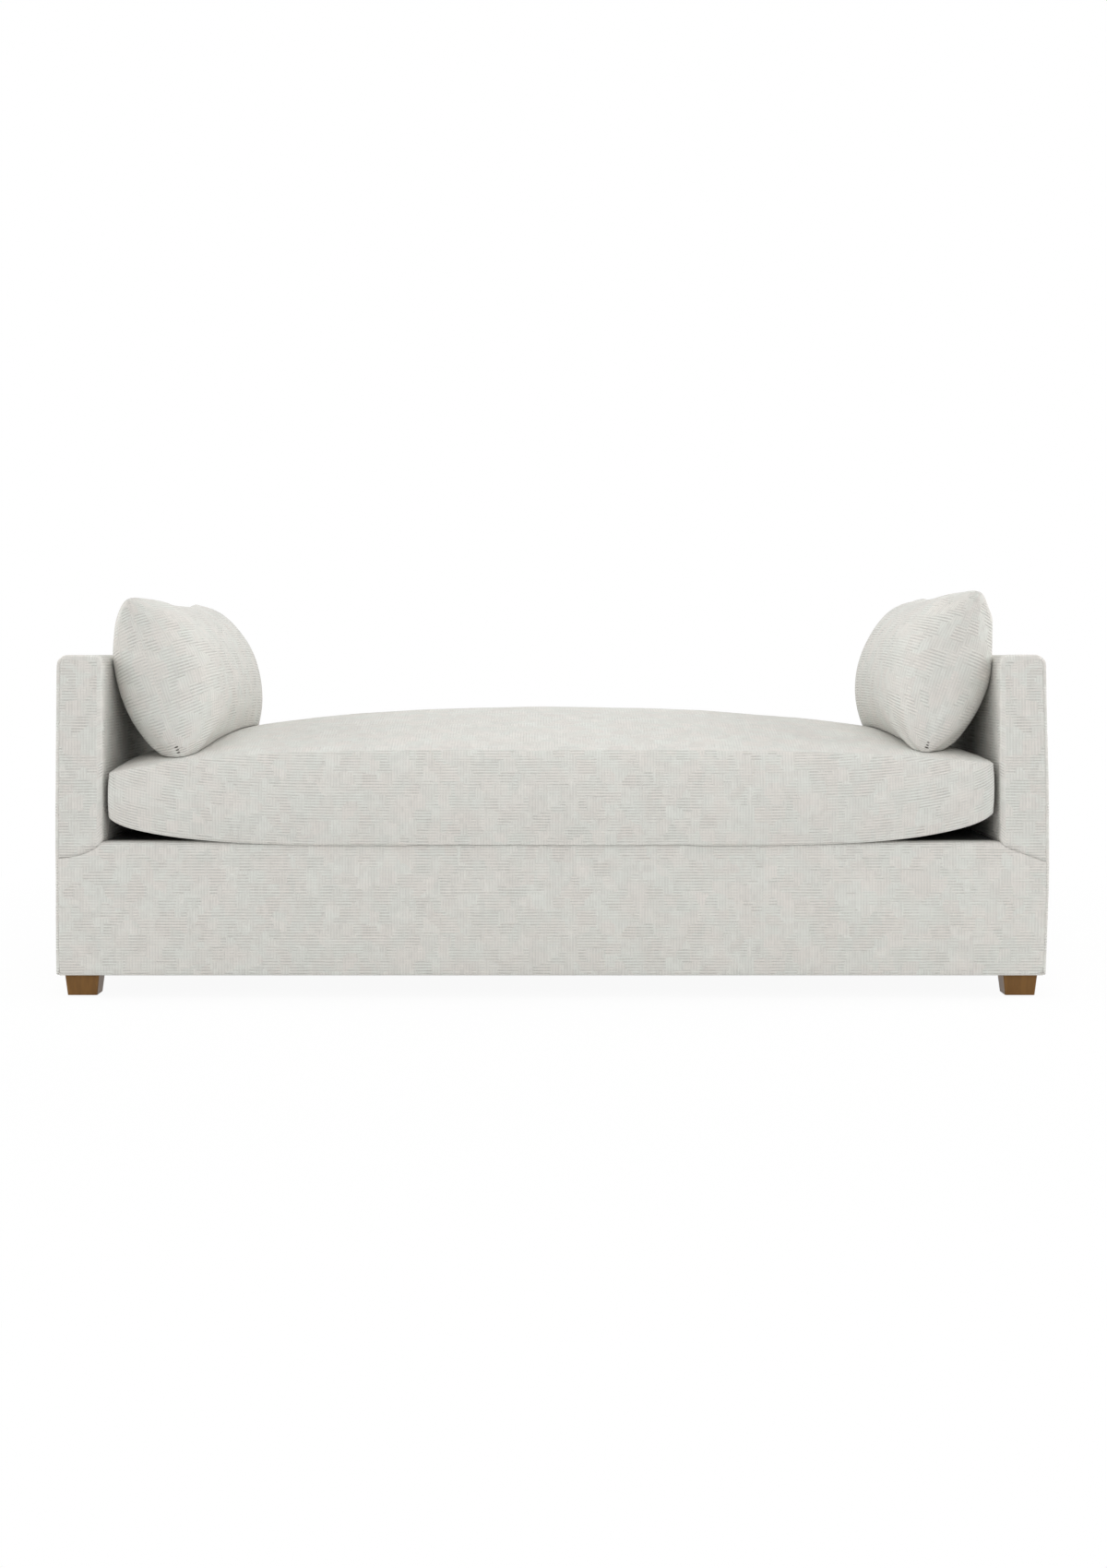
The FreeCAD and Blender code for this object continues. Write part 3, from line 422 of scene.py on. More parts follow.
def ivory_jacquard(place):
    """Stepped patches of horizontal ribs and upright threads, round small checked spots in half-drop rows."""
    thread, along, across = on_cloth(place)
    slub = thread.stretched(70.0, 420.0, 1.0).cloudy(1.0, 3.0, 0.6) - 0.5
    drift = thread.stretched(9.0, 30.0, 1.0).cloudy(1.0, 2.0) - 0.5
    steps = thread.stretched(1 / STEP_ALONG, 1 / STEP_ACROSS, 1.0)
    steps = steps.node("VectorMath", {"operation": "FLOOR"}, {0: steps})
    patch = steps.stretched(0.73, 0.67, 1.0).cloudy(1.0, 2.0, 0.6) - 0.5
    warmth = thread.stretched(13.0, 17.0, 1.0).cloudy(1.0, 2.0, 0.6) - 0.5
    figure = 0.0
    for shift in (0.0, 0.5):
        beside = ((along / REPEAT_ALONG + shift).apply("FRACT") - 0.5) * REPEAT_ALONG
        above = ((across / REPEAT_ACROSS + shift).apply("FRACT") - 0.5) * REPEAT_ACROSS
        radius = (beside * beside + above * above).apply("SQRT") + slub * 0.010 + patch * 0.024
        ring = 1 - (radius - RING_RADIUS).apply("ABSOLUTE").ease(0.0020, 0.0085)
        spot = 1 - radius.ease(0.006, 0.013)
        figure = ring * 0.45 + spot + figure
    check = along.wave(CHECK_PITCH) * across.wave(CHECK_PITCH)
    block = thread.stretched(34.0, 36.0, 1.0)
    cells = {"Vector": block, "Scale": 1.0, "Randomness": 0.8}
    block = block.node("TexVoronoi", {"distance": "CHEBYCHEV"}, cells, "Color")
    ribbed, shade, hue = (part - 0.5 for part in block.split("XYZ"))
    bold = (patch * 1.5 + ribbed * 0.9).ease(-0.25, 0.35) * 0.80 + 0.04
    rib = (across + drift * 0.003).wave(RIB_PITCH, "COSINE")
    warp = along.wave(RIB_PITCH, "COSINE") * (0.6 - bold) * 0.45
    relief = (rib * bold + warp) * (1 - figure * 0.5) + check * figure * 0.22 + slub * 0.5
    tone = relief * 0.7 + figure * 0.06 + patch * 0.80 + shade * 0.14 + warmth * 0.10 + 0.64
    ground = (warmth + hue * 0.3).ease(-0.25, 0.25).between(WARM_IVORY, COOL_IVORY)
    return {
        "Base Color": tone.between(RIB_SHADE, ground),
        "Roughness": slub * 0.15 + 0.87,
        "Normal": relief.raised(0.6, 0.0011),
    }


soft_nap = {"Sheen Weight": 0.12, "Sheen Roughness": 0.5, "Specular IOR Level": 0.25}
ivory = finished("ivory_jacquard", ivory_jacquard, soft_nap)


def grid_of(*parts):
    """Points, or places on the cloth, from their parts, each for the whole grid, a row, a column or once."""
    return np.stack(np.broadcast_arrays(*parts), -1)


def graded(length, coarse, both_ends=False, fine=0.0013, widen=1.6):
    """Places along a panel: close together at a seam, coarse apart away from it."""
    reach = length / 2 if both_ends else length
    steps = [fine]
    while steps[-1] * widen < coarse:
        steps.append(steps[-1] * widen)
    rest = reach - sum(steps)
    count = max(1, round(rest / coarse))
    places = np.concatenate([[0.0], np.cumsum(steps + [rest / count] * count)])
    places *= reach / places[-1]
    return np.concatenate([places, (length - places[:-1])[::-1]]) if both_ends else places


def mitre_line(side, count=60):
    """The mitre seam on the face of an arm, as (out from the arm's inside, height)."""
    start, (middle, end) = np.array([SOFT_EDGE, DECK - SOFT_EDGE]), map(np.array, MITRES[side])
    share = np.linspace(0, 1, count)[:, None]
    return (1 - share) ** 2 * start + 2 * share * (1 - share) * middle + share**2 * end


def read_points(piece):
    found = np.empty(len(piece.data.vertices) * 3)
    piece.data.vertices.foreach_get("co", found)
    return found.reshape(-1, 3)


def read_normals(piece):
    found = np.empty(len(piece.data.vertices) * 3)
    piece.data.vertex_normals.foreach_get("vector", found)
    return found.reshape(-1, 3)


def set_points(piece, points):
    piece.data.vertices.foreach_set("co", points.ravel())
    piece.data.update()


def unevenness(points, size, height, seed):
    """Slow waves of hand-fitted cloth over wadding."""
    return height * np.array([noise.noise(Vector(point) / size + Vector((seed, 0, 0))) for point in points])


def seam_gaps(points, seam_points):
    """How far each point of a cloth is from the nearest seam."""
    tree = KDTree(len(seam_points))
    for index, point in enumerate(seam_points):
        tree.insert(point, index)
    tree.balance()
    return np.array([tree.find(point)[2] for point in points])


def seam_dent(gap):
    """How far a sewn seam pulls the cloth in: a narrow valley in a wide one, by depth and half width."""
    return -sum(depth * np.exp(-((gap / half) ** 2)) for depth, half in SEAM_VALLEYS)


def dense_line(corners, step=0.002):
    """Points close together along a line through corners."""
    corners = np.array(corners, float)
    return np.concatenate(
        [
            np.linspace(a, b, max(2, int(np.linalg.norm(b - a) / step)))
            for a, b in zip(corners[:-1], corners[1:])
        ]
    )


def full_sides(points):
    """Lets the outer faces of the arms stand out a little, most at the height of the seat deck."""
    out = np.clip((np.abs(points[:, 0]) - ARM_INSIDE - FULL_FROM) / FULL_WITHIN, 0, 1)
    height = np.clip((points[:, 2] - BASE_BOTTOM - HEM_EDGE) / (ARM_TOP - BASE_BOTTOM), 0, 1)
    fullness = np.where(points[:, 0] < 0, LEFT_FULLNESS, RIGHT_FULLNESS)
    points[:, 0] += np.sign(points[:, 0]) * fullness * out * np.sin(math.pi * height**0.8) ** 1.2


def upholster(piece, body, slot, fill, *stands_for):
    """What a padded fabric piece rides on and stands for. The slot for what it is made of is not used."""
    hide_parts(*stands_for)
    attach(piece, body)


def rail_panels():
    """Panels of the front rail's cover: face, hem below, rolled upper edge and the lip on the deck."""
    under_arms = SEAM_OUT - graded(SEAM_OUT - SOFT_EDGE, WING_COLUMN)
    wing = np.concatenate([under_arms, np.linspace(SOFT_EDGE, 0, 7)[1:]])
    middle = np.linspace(-ARM_INSIDE, ARM_INSIDE, 140)[1:-1]
    columns = np.concatenate([-ARM_INSIDE - wing, middle, (ARM_INSIDE + wing)[::-1]])
    beyond = np.abs(columns) - ARM_INSIDE
    top = np.full_like(columns, DECK - SOFT_EDGE)
    for side in (-1, 1):
        line = mitre_line(side)
        under_arm = (beyond > SOFT_EDGE) & (np.sign(columns) == side)
        top[under_arm] = np.interp(beyond[under_arm], line[:, 0], line[:, 1])
    low = BASE_BOTTOM + HEM_EDGE
    rows = graded(FACE_HEIGHT, FACE_ROW)[:, None] / FACE_HEIGHT
    face = grid_of(columns, -HALF_DEPTH, top - rows * (top - low))
    turn = np.linspace(0, math.pi / 2, 6)[:, None]
    under = grid_of(columns, -HALF_DEPTH + HEM_EDGE * (1 - np.cos(turn)), low - HEM_EDGE * np.sin(turn))
    hem = np.stack([under[-1], under[-1] + (0, HEM_DEPTH - HEM_EDGE, 0)])
    rolled = beyond <= SOFT_EDGE + TINY
    height = np.clip(SOFT_EDGE - beyond[rolled], 0, SOFT_EDGE)
    rise = height * np.sin(np.linspace(0, math.pi / 2, 8))[:, None]
    back = SOFT_EDGE - np.sqrt(SOFT_EDGE**2 - rise**2)
    roll = grid_of(columns[rolled], -HALF_DEPTH + back, DECK - SOFT_EDGE + rise)
    round_roll = DECK - SOFT_EDGE + np.arcsin(rise / SOFT_EDGE) * SOFT_EDGE
    between_arms = columns[beyond <= TINY]
    lip_back = np.linspace(SOFT_EDGE, LIP + LIP_TUCK, 6)[:, None]
    lip = grid_of(between_arms, -HALF_DEPTH + lip_back, DECK - LIP_DROP * (lip_back > LIP))
    return [
        (face, flat_cloth(face, 0, 2)),
        (under, grid_of(columns, low - HEM_EDGE * turn)),
        (hem, flat_cloth(hem, 0, 1)),
        (roll, grid_of(columns[rolled], round_roll)),
        (lip, grid_of(between_arms, DECK + lip_back)),
    ]


for end, y_sign in (("front", -1), ("rear", 1)):
    panels = rail_panels()
    for grid, _ in panels:
        grid[..., 1] *= -y_sign
    rail = sewn(f"{end}_rail_fabric", panels, ivory, (0.0, y_sign * RAIL_MIDDLE_Y, RAIL_MIDDLE_Z))
    seams = []
    for side in (-1, 1):
        mitre = [(side * (ARM_INSIDE + out), y_sign * HALF_DEPTH, z) for out, z in mitre_line(side)]
        seam_foot = (side * (ARM_INSIDE + SEAM_OUT), y_sign * HALF_DEPTH, BASE_BOTTOM)
        seams += [dense_line(mitre), dense_line([mitre[-1], seam_foot])]
    points = read_points(rail)
    height = points[:, 2]
    crown = RAIL_CROWN * np.sin(np.clip((height - BASE_BOTTOM) / (DECK - BASE_BOTTOM), 0, 1) * math.pi)
    crown *= np.abs(points[:, 1]) > HALF_DEPTH - 0.001
    dents = seam_dent(seam_gaps(points, np.concatenate(seams)))
    relief = crown + unevenness(points, *WADDING_WAVES) + dents
    relief[(height < HELD_BELOW) | (height > HELD_ABOVE)] = 0
    points += read_normals(rail) * relief[:, None]
    full_sides(points)
    set_points(rail, points)
    thicken(rail, FABRIC_THICKNESS)
    upholster(rail, "base", "upholstery", 0.9, f"{end}_rail_cover", f"{end}_rail_pad")

# Arm upholstery: one cover over the inside, top and ends of each arm, and an outside panel that turns 8 mm
# round the edges to its seam. Both are drawn over wadding and stapled below, so the faces are a little full
# and uneven.

INNER_RADIUS, OUTER_RADIUS = 0.018, 0.022
INNER_CENTRE = (INNER_RADIUS, ARM_TOP - INNER_RADIUS)
OUTER_CENTRE = (ARM_THICKNESS - OUTER_RADIUS, ARM_TOP - OUTER_RADIUS)
HEM_LEVEL, HEM_TUCK, HEM_CORNER = BASE_BOTTOM + 0.001, 0.03, 0.0065
HEM_CENTRE = (ARM_THICKNESS - HEM_EDGE, HEM_LEVEL + HEM_EDGE)
SEAM_ANGLE = math.acos((SEAM_OUT - OUTER_CENTRE[0]) / OUTER_RADIUS)
OVER_OUTER = OUTER_RADIUS * (math.pi / 2 - SEAM_ANGLE)
OVER_TOP = OUTER_CENTRE[0] - INNER_CENTRE[0]
OVER_INNER = INNER_RADIUS * math.pi / 2
OVER_EDGE, ROUND_HEM = OUTER_RADIUS * SEAM_ANGLE, HEM_EDGE * math.pi / 2
OUTSIDE_DROP, INSIDE_DROP = OUTER_CENTRE[1] - HEM_CENTRE[1], INNER_CENTRE[1] - DECK
ARM_TUCK, ARM_MIDDLE_Z, ARM_HELD_BELOW = 0.004, 0.4, BASE_BOTTOM + 0.003
EDGE_PLACES, EDGE_RADII = (0, 0.04, 0.075, SEAM_OUT), (SOFT_EDGE, SOFT_EDGE, 0.010, SEAM_INSET)
TOP_ROW, INSIDE_ROW, OUTSIDE_ROW, HEM_BLEND = 0.006, 0.0105, 0.014, 0.01
TURN_STEPS, LENGTH_STEPS = 6, 65
TO_REAR = (1, -1, 1)


def on_arc(centre, radius, angle):
    """Point and outward direction on a rounded edge."""
    out = (math.cos(angle), math.sin(angle))
    return (centre[0] + radius * out[0], centre[1] + radius * out[1]), out


def arm_profile(distance):
    """Point and outward direction on an arm's outline, by distance from the outer seam in over the top."""
    if distance <= OVER_OUTER:
        return on_arc(OUTER_CENTRE, OUTER_RADIUS, SEAM_ANGLE + distance / OUTER_RADIUS)
    distance -= OVER_OUTER
    if distance <= OVER_TOP:
        return (OUTER_CENTRE[0] - distance, ARM_TOP), (0.0, 1.0)
    distance -= OVER_TOP
    if distance <= OVER_INNER:
        return on_arc(INNER_CENTRE, INNER_RADIUS, math.pi / 2 + distance / INNER_RADIUS)
    return (0.0, INNER_CENTRE[1] - (distance - OVER_INNER)), (-1.0, 0.0)


def outside_profile(distance):
    """The same from the outer seam outwards, round the outer edge and down the outside to the hem."""
    if distance <= OVER_EDGE:
        return on_arc(OUTER_CENTRE, OUTER_RADIUS, SEAM_ANGLE - distance / OUTER_RADIUS)
    distance -= OVER_EDGE
    if distance <= OUTSIDE_DROP:
        return (ARM_THICKNESS, OUTER_CENTRE[1] - distance), (1.0, 0.0)
    distance -= OUTSIDE_DROP
    if distance <= ROUND_HEM:
        return on_arc(HEM_CENTRE, HEM_EDGE, -distance / HEM_EDGE)
    return (HEM_CENTRE[0] - (distance - ROUND_HEM), HEM_LEVEL), (0.0, -1.0)


def swept(profile, distances, edges):
    """Sections of a profile from the front face, round its edge, along the arm, and round the rear edge."""
    point, out = map(np.array, zip(*(profile(distance) for distance in distances)))
    sections = []
    for turn in np.linspace(0, math.pi / 2, TURN_STEPS + 1):
        place = point - out * (edges * (1 - math.sin(turn)))[:, None]
        sections.append(grid_of(place[:, 0], -HALF_DEPTH + edges * (1 - math.cos(turn)), place[:, 1]))
    for share in np.linspace(0, 1, LENGTH_STEPS + 1)[1:-1]:
        y = (-HALF_DEPTH + edges) * (1 - share) + (HALF_DEPTH - edges) * share
        sections.append(grid_of(point[:, 0], y, point[:, 1]))
    sections += [section * TO_REAR for section in sections[TURN_STEPS::-1]]
    return np.array(sections)


def run_of(line):
    """The distance along a line to each of its points."""
    return np.concatenate([[0], np.cumsum(np.linalg.norm(np.diff(line, axis=0), axis=1))])


def filled(bottom, top, left, right):
    """A grid that fills the space between four edges, by their own spacing."""
    over, up = run_of(top), run_of(left)
    s, t = (over / over[-1])[None, :, None], (up / up[-1])[:, None, None]
    lower, upper = (1 - s) * bottom[0] + s * bottom[-1], (1 - s) * top[0] + s * top[-1]
    edges = (1 - t) * bottom[None] + t * top[None] + (1 - s) * left[:, None] + s * right[:, None]
    return edges - ((1 - t) * lower + t * upper)


def spaced(line, like):
    """Points of a line, spaced in proportion to the points of another line."""
    runs, others = run_of(line), run_of(like)
    return np.stack([np.interp(others / others[-1] * runs[-1], runs, line[:, k]) for k in range(3)], -1)


def cloth_along(sections, distances):
    """Places on the cloth of swept sections: along the arm, and by the distance over it."""
    return np.stack([sections[..., 1], np.broadcast_to(-np.array(distances), sections.shape[:2])], -1)


top_places = graded(OVER_OUTER + OVER_TOP + OVER_INNER, TOP_ROW)
drop_places = graded(INSIDE_DROP, INSIDE_ROW)[1:]
arm_places = np.concatenate([top_places, top_places[-1] + drop_places])
arm_out = [arm_profile(distance)[0][0] for distance in arm_places]
arm_edges = np.interp(arm_out, EDGE_PLACES, EDGE_RADII)
drop_shares = drop_places / INSIDE_DROP
hem_start = OVER_EDGE + OUTSIDE_DROP
hem_places = hem_start + np.array([*np.linspace(0, ROUND_HEM, 5)[1:], HEM_TUCK])
outside_places = np.concatenate([graded(hem_start, OUTSIDE_ROW), hem_places])
outside_edges = np.interp(outside_places, (hem_start, hem_start + HEM_BLEND), (SEAM_INSET, HEM_CORNER))
corner = np.linspace(0, SEAM_ANGLE, 12)
seam_radius = OUTER_RADIUS - SEAM_INSET
corner_x = OUTER_CENTRE[0] + seam_radius * np.cos(corner)
corner_z = OUTER_CENTRE[1] + seam_radius * np.sin(corner)
corner_seam = grid_of(corner_x, -HALF_DEPTH, corner_z)
for side_name, side in (("left", -1), ("right", 1)):
    sections = swept(arm_profile, arm_places, arm_edges)
    for number, section in enumerate(sections):
        step = min(number, len(sections) - 1 - number) / TURN_STEPS
        on_edge = DECK - SOFT_EDGE + SOFT_EDGE * math.sin(math.pi / 2 * step)
        lowest = on_edge if step <= 1 else DECK - ARM_TUCK
        section[len(top_places) :, 2] = INNER_CENTRE[1] * (1 - drop_shares) + lowest * drop_shares
    line = mitre_line(side)
    mitre = grid_of(line[:, 0], -HALF_DEPTH, line[:, 1])
    head = sections[0][: len(top_places)][::-1]
    inner_edge = sections[0][len(top_places) - 1 :][::-1]
    seam_line = np.concatenate([mitre[-1:], corner_seam])
    face = filled(spaced(mitre, head), head, inner_edge, spaced(seam_line, inner_edge))
    rear_face = face * TO_REAR
    panels = [
        (sections, cloth_along(sections, arm_places)),
        (face, flat_cloth(face, 0, 2)),
        (rear_face, flat_cloth(rear_face, 0, 2)),
    ]
    outside_sections = swept(outside_profile, outside_places, outside_edges)
    outside_panels = [(outside_sections, cloth_along(outside_sections, outside_places))]

    seam_foot = (SEAM_OUT, -HALF_DEPTH, BASE_BOTTOM)
    front_lines = ([seam_foot, mitre[-1]], seam_line, mitre)
    front_seams = np.concatenate([dense_line(corners) for corners in front_lines])
    top_seam = dense_line([section[0] for section in sections])
    seams = np.concatenate([front_seams, front_seams * TO_REAR, top_seam])
    seams[:, 0] = side * (ARM_INSIDE + seams[:, 0])
    for grid, _ in panels + outside_panels:
        grid[..., 0] = side * (ARM_INSIDE + grid[..., 0])
    centre = (side * (ARM_INSIDE + ARM_THICKNESS / 2), 0.0, ARM_MIDDLE_Z)
    for name, made, stands_for in (
        ("arm", panels, (f"{side_name}_arm_cover", f"{side_name}_arm_pad")),
        ("outside", outside_panels, (f"{side_name}_outside_cover",)),
    ):
        fabric = sewn(f"{side_name}_{name}_fabric", made, ivory, centre)
        points = read_points(fabric)
        relief = unevenness(points, *WADDING_WAVES) + seam_dent(seam_gaps(points, seams))
        relief[points[:, 2] < ARM_HELD_BELOW] = 0
        points += read_normals(fabric) * relief[:, None]
        full_sides(points)
        set_points(fabric, points)
        thicken(fabric, FABRIC_THICKNESS)
        upholster(fabric, "base", "upholstery", 0.9, *stands_for)

# Bench cushion: one long loose seat cushion, a foam core with a soft wrap in a boxed cover of the same
# jacquard. It is crowned, thins towards its ends, which lift off the deck, and its boxing is sewn to both
# panels by plain seams.

CUSHION_FLOOR = DECK + 0.0003
CUSHION_HALF_LENGTH, CUSHION_HALF_DEPTH = 0.955, 0.470
CUSHION_SWELL = 0.010
OVERHANG, HANG = 0.016, 0.009
BOXING_HEIGHT, CROWN_HEIGHT, CROWN_BOW = 0.198, 0.281, 0.070
BOXING_BULGE, END_BULGE = 0.022, 0.006
END_SPREAD, CORNER_ROUND, CORNER_LIFT = 0.008, 0.006, 0.010
LEFT_LIFT_AND_FALLS, RIGHT_LIFT_AND_FALLS = (0.040, 0.049, 0.040), (0.050, 0.028, 0.026)
PANEL_RISE, PANEL_DEPTH = 0.2, 2 * CUSHION_HALF_DEPTH
PANEL_STEP, SEAM_STEP = 0.0125, 0.0025
TOP_SHIFT, CUSHION_MIDDLE_Z = 0.021, 0.44


def cushion_section(station, inset):
    """One cross-section: heights of bottom, upper seam and crown, half depth, bulge and overhang."""
    off = abs(station)
    at_end, at_corner, full = off**6, off**50, 1 - off**8
    lift, seam_fall, crown_fall = LEFT_LIFT_AND_FALLS if station < 0 else RIGHT_LIFT_AND_FALLS
    return (
        CUSHION_FLOOR + lift * at_end + CORNER_LIFT * at_corner,
        CUSHION_FLOOR + BOXING_HEIGHT - seam_fall * off**4,
        CUSHION_FLOOR + CROWN_HEIGHT - CROWN_BOW * off**2 - crown_fall * at_end - inset * full,
        CUSHION_HALF_DEPTH + END_SPREAD * at_end - CORNER_ROUND * at_corner,
        BOXING_BULGE * (1 - at_end / 2) - inset * 0.6 * full,
        OVERHANG * (1 - at_end),
    )


def cushion_grids(inset):
    """The cushion's panels as grids along its length: boxing front and rear, top, bottom and end boxings."""
    x = graded(2 * CUSHION_HALF_LENGTH, PANEL_STEP, True, SEAM_STEP) - CUSHION_HALF_LENGTH
    rise, depth = (graded(size, PANEL_STEP, True, SEAM_STEP) / size for size in (PANEL_RISE, PANEL_DEPTH))
    rise_bow, depth_bow = 4 * rise * (1 - rise), 4 * depth * (1 - depth)
    front, top, bottom = [], [], []
    for place in x:
        low, seam, crown, half, bulge, over = cushion_section(place / CUSHION_HALF_LENGTH, inset)
        edge = low - over * HANG / OVERHANG
        front_y = -half - over * (1 - rise) - bulge * rise_bow
        front.append(grid_of(place, front_y, edge + (seam - edge) * rise))
        top.append(grid_of(place, half * (2 * depth - 1), seam + (crown - seam) * depth_bow))
        bottom_y = (half + over) * (2 * depth - 1)
        hang = np.clip((np.abs(bottom_y) - half) / OVERHANG, 0, 1) ** 2
        bottom.append(grid_of(place, bottom_y, low - (low - edge) * hang))
    front, top, bottom = map(np.array, (front, top, bottom))
    rear = front * TO_REAR
    swell = np.outer(rise_bow, np.sqrt(np.clip(depth_bow, 0, 1)))
    ends = []
    for end in (0, -1):
        cap = filled(bottom[end], top[end], front[end], rear[end])
        cap[..., 0] += math.copysign(END_BULGE, cap[0, 0, 0]) * swell
        ends.append(cap)
    return front, top, rear, bottom, ends


def cloth_over(grid, shift):
    """Places on the cloth of a cushion panel: along the cushion, and by the distance over the panel."""
    over = np.linalg.norm(np.diff(grid, axis=1), axis=2)
    over = np.concatenate([np.zeros((len(grid), 1)), np.cumsum(over, axis=1)], axis=1)
    return np.stack([grid[..., 0] + shift, over + shift], -1)


front, top, rear, bottom, ends = cushion_grids(CUSHION_SWELL)
long_panels = ((front, 0.0), (top, TOP_SHIFT), (rear, 0.0), (bottom, 0.0))
cushion_panels = [(grid, cloth_over(grid, shift)) for grid, shift in long_panels]
cushion_panels += [(cap, flat_cloth(cap, 1, 2)) for cap in ends]
cushion = sewn("bench_cushion", cushion_panels, ivory, (0.0, 0.0, CUSHION_MIDDLE_Z))


def plumped(piece, held, reach, pressure, frames=20):
    """Fills a sewn cover by cloth simulation, with no point further than reach from where it began."""
    scene = bpy.context.scene
    began = read_points(piece)
    group = piece.vertex_groups.new(name="held")
    for index in np.flatnonzero(held > 0):
        group.add([int(index)], float(held[index]), "REPLACE")
    filling = piece.modifiers.new("filling", "CLOTH")
    cloth = filling.settings
    cloth.quality = 6
    cloth.mass = 0.25
    cloth.tension_stiffness = cloth.compression_stiffness = 12.0
    cloth.shear_stiffness = 6.0
    cloth.bending_stiffness = 0.6
    cloth.air_damping = 3.0
    cloth.use_pressure = True
    cloth.uniform_pressure_force = pressure
    cloth.vertex_group_mass = group.name
    cloth.effector_weights.gravity = 0.0
    filling.collision_settings.use_collision = False
    filling.point_cache.frame_start, filling.point_cache.frame_end = 1, frames
    for number in range(1, frames + 1):
        scene.frame_set(number)
    swollen = np.empty(len(began) * 3)
    piece.evaluated_get(bpy.context.evaluated_depsgraph_get()).data.vertices.foreach_get("co", swollen)
    piece.modifiers.remove(filling)
    piece.vertex_groups.remove(group)
    scene.frame_set(1)
    move = swollen.reshape(-1, 3) - began
    far = np.linalg.norm(move, axis=1, keepdims=True)
    set_points(piece, began + move * np.minimum(1, reach / np.maximum(far, TINY)))


def soften(piece):
    """Rounds the facets of a filled cover."""
    smooth = piece.modifiers.new("smooth", "SUBSURF")
    smooth.levels = smooth.render_levels = 1


FILL_PRESSURE, CUSHION_REACH, CUSHION_HOLD, RESTING = 4.0, 0.022, 0.012, 0.004
CUSHION_SEAM_SHARE = 0.9
FOAM_WAVES, WRAP_WAVES = (0.22, 0.0022, 11.0), (0.07, 0.0006, 4.0)
RAIL_BACK, RAIL_LEVEL = HALF_DEPTH - SOFT_EDGE, DECK - SOFT_EDGE
DECK_CLEARANCE, RAIL_CLEARANCE, ARM_CLEARANCE = 0.0002, 0.0018, 0.004
ZIP_REACH, ZIP_LEVEL, TAPE_FACE = 0.7, CUSHION_FLOOR + 0.1, 0.4923
ZIP_MARGIN, TAPE_SEAT = 0.03, 0.0004

began = read_points(cushion)
seam_lines = [front[:, -1], rear[:, -1], front[:, 0], rear[:, 0]]
seam_lines += [line for end in (0, -1) for line in (top[end], bottom[end], front[end], rear[end])]
from_seam = seam_gaps(began, np.concatenate([dense_line(line) for line in seam_lines]))
resting = np.clip(1.2 - (began[:, 2] - CUSHION_FLOOR) / RESTING, 0, 1)
held = np.maximum(resting, np.exp(-((from_seam / CUSHION_HOLD) ** 2)))
plumped(cushion, held, CUSHION_REACH, FILL_PRESSURE)
relief = seam_dent(from_seam) * CUSHION_SEAM_SHARE
relief += unevenness(began, *FOAM_WAVES)
relief += unevenness(began, *WRAP_WAVES)
points = read_points(cushion)
points += read_normals(cushion) * relief[:, None]
over_deck = np.abs(points[:, 1]) < RAIL_BACK
points[over_deck, 2] = np.maximum(points[over_deck, 2], CUSHION_FLOOR + DECK_CLEARANCE)
round_rail = ~over_deck & (points[:, 2] < DECK + RESTING)
from_rail = np.stack([np.abs(points[:, 1]) - RAIL_BACK, points[:, 2] - RAIL_LEVEL], -1)
clear_of_rail = (SOFT_EDGE + RAIL_CLEARANCE) / np.maximum(np.linalg.norm(from_rail, axis=1), TINY)
pushed = from_rail * np.maximum(clear_of_rail, 1)[:, None]
points[round_rail, 1] = np.sign(points[round_rail, 1]) * (RAIL_BACK + pushed[round_rail, 0])
points[round_rail, 2] = RAIL_LEVEL + pushed[round_rail, 1]
beside_zip = (np.abs(points[:, 0]) < ZIP_REACH + ZIP_MARGIN) & (points[:, 1] > 0)
beside_zip &= np.abs(points[:, 2] - ZIP_LEVEL) < ZIP_MARGIN
points[beside_zip, 1] = np.minimum(points[beside_zip, 1], TAPE_FACE - TAPE_SEAT)
points[:, 0] = np.clip(points[:, 0], ARM_CLEARANCE - ARM_INSIDE, ARM_INSIDE - ARM_CLEARANCE)
set_points(cushion, points)
soften(cushion)
upholster(cushion, "seat_cushion", "upholstery", 0.8, "seat_cushion_cover", "seat_cushion_core")

# Zip in the rear boxing: two woven tapes with a nylon coil between them, and a slider with its pull tab.
# The tapes are stitched to the boxing, and the slider runs from end to end of the coil.

TAPE_HALF, TAPE_BOW, TAPE_FALL, TAPE_THICKNESS = 0.013, 0.0010, 0.0009, 0.0008
TWILL_PITCH, STITCH_PITCH, STITCH_LINE = 0.0016, 0.004, 0.010
COIL_PITCH, COIL_FACE, COIL_END = 0.0028, 0.4946, 0.002
COIL_HALF_WIDTH, COIL_HALF_HEIGHT, COIL_HEEL, COIL_LENGTH = 0.00085, 0.0008, 0.0028, 0.0032


def zip_weave(place):
    """Fine twill with a line of stitches near each edge."""
    _, along, across = on_cloth(place)
    twill = (along + across).wave(TWILL_PITCH)
    from_line = (across.apply("ABSOLUTE") - STITCH_LINE).apply("ABSOLUTE")
    stitch = (1 - from_line.ease(0.0003, 0.0007)) * along.wave(STITCH_PITCH).ease(-0.2, 0.2)
    return {
        "Base Color": (twill * 0.15 + stitch * 0.5 + 0.35).between(dye(196, 192, 184), dye(224, 221, 214)),
        "Roughness": twill * 0.05 + 0.8,
        "Normal": (twill + stitch * 2.0).raised(0.4, 0.0003),
    }


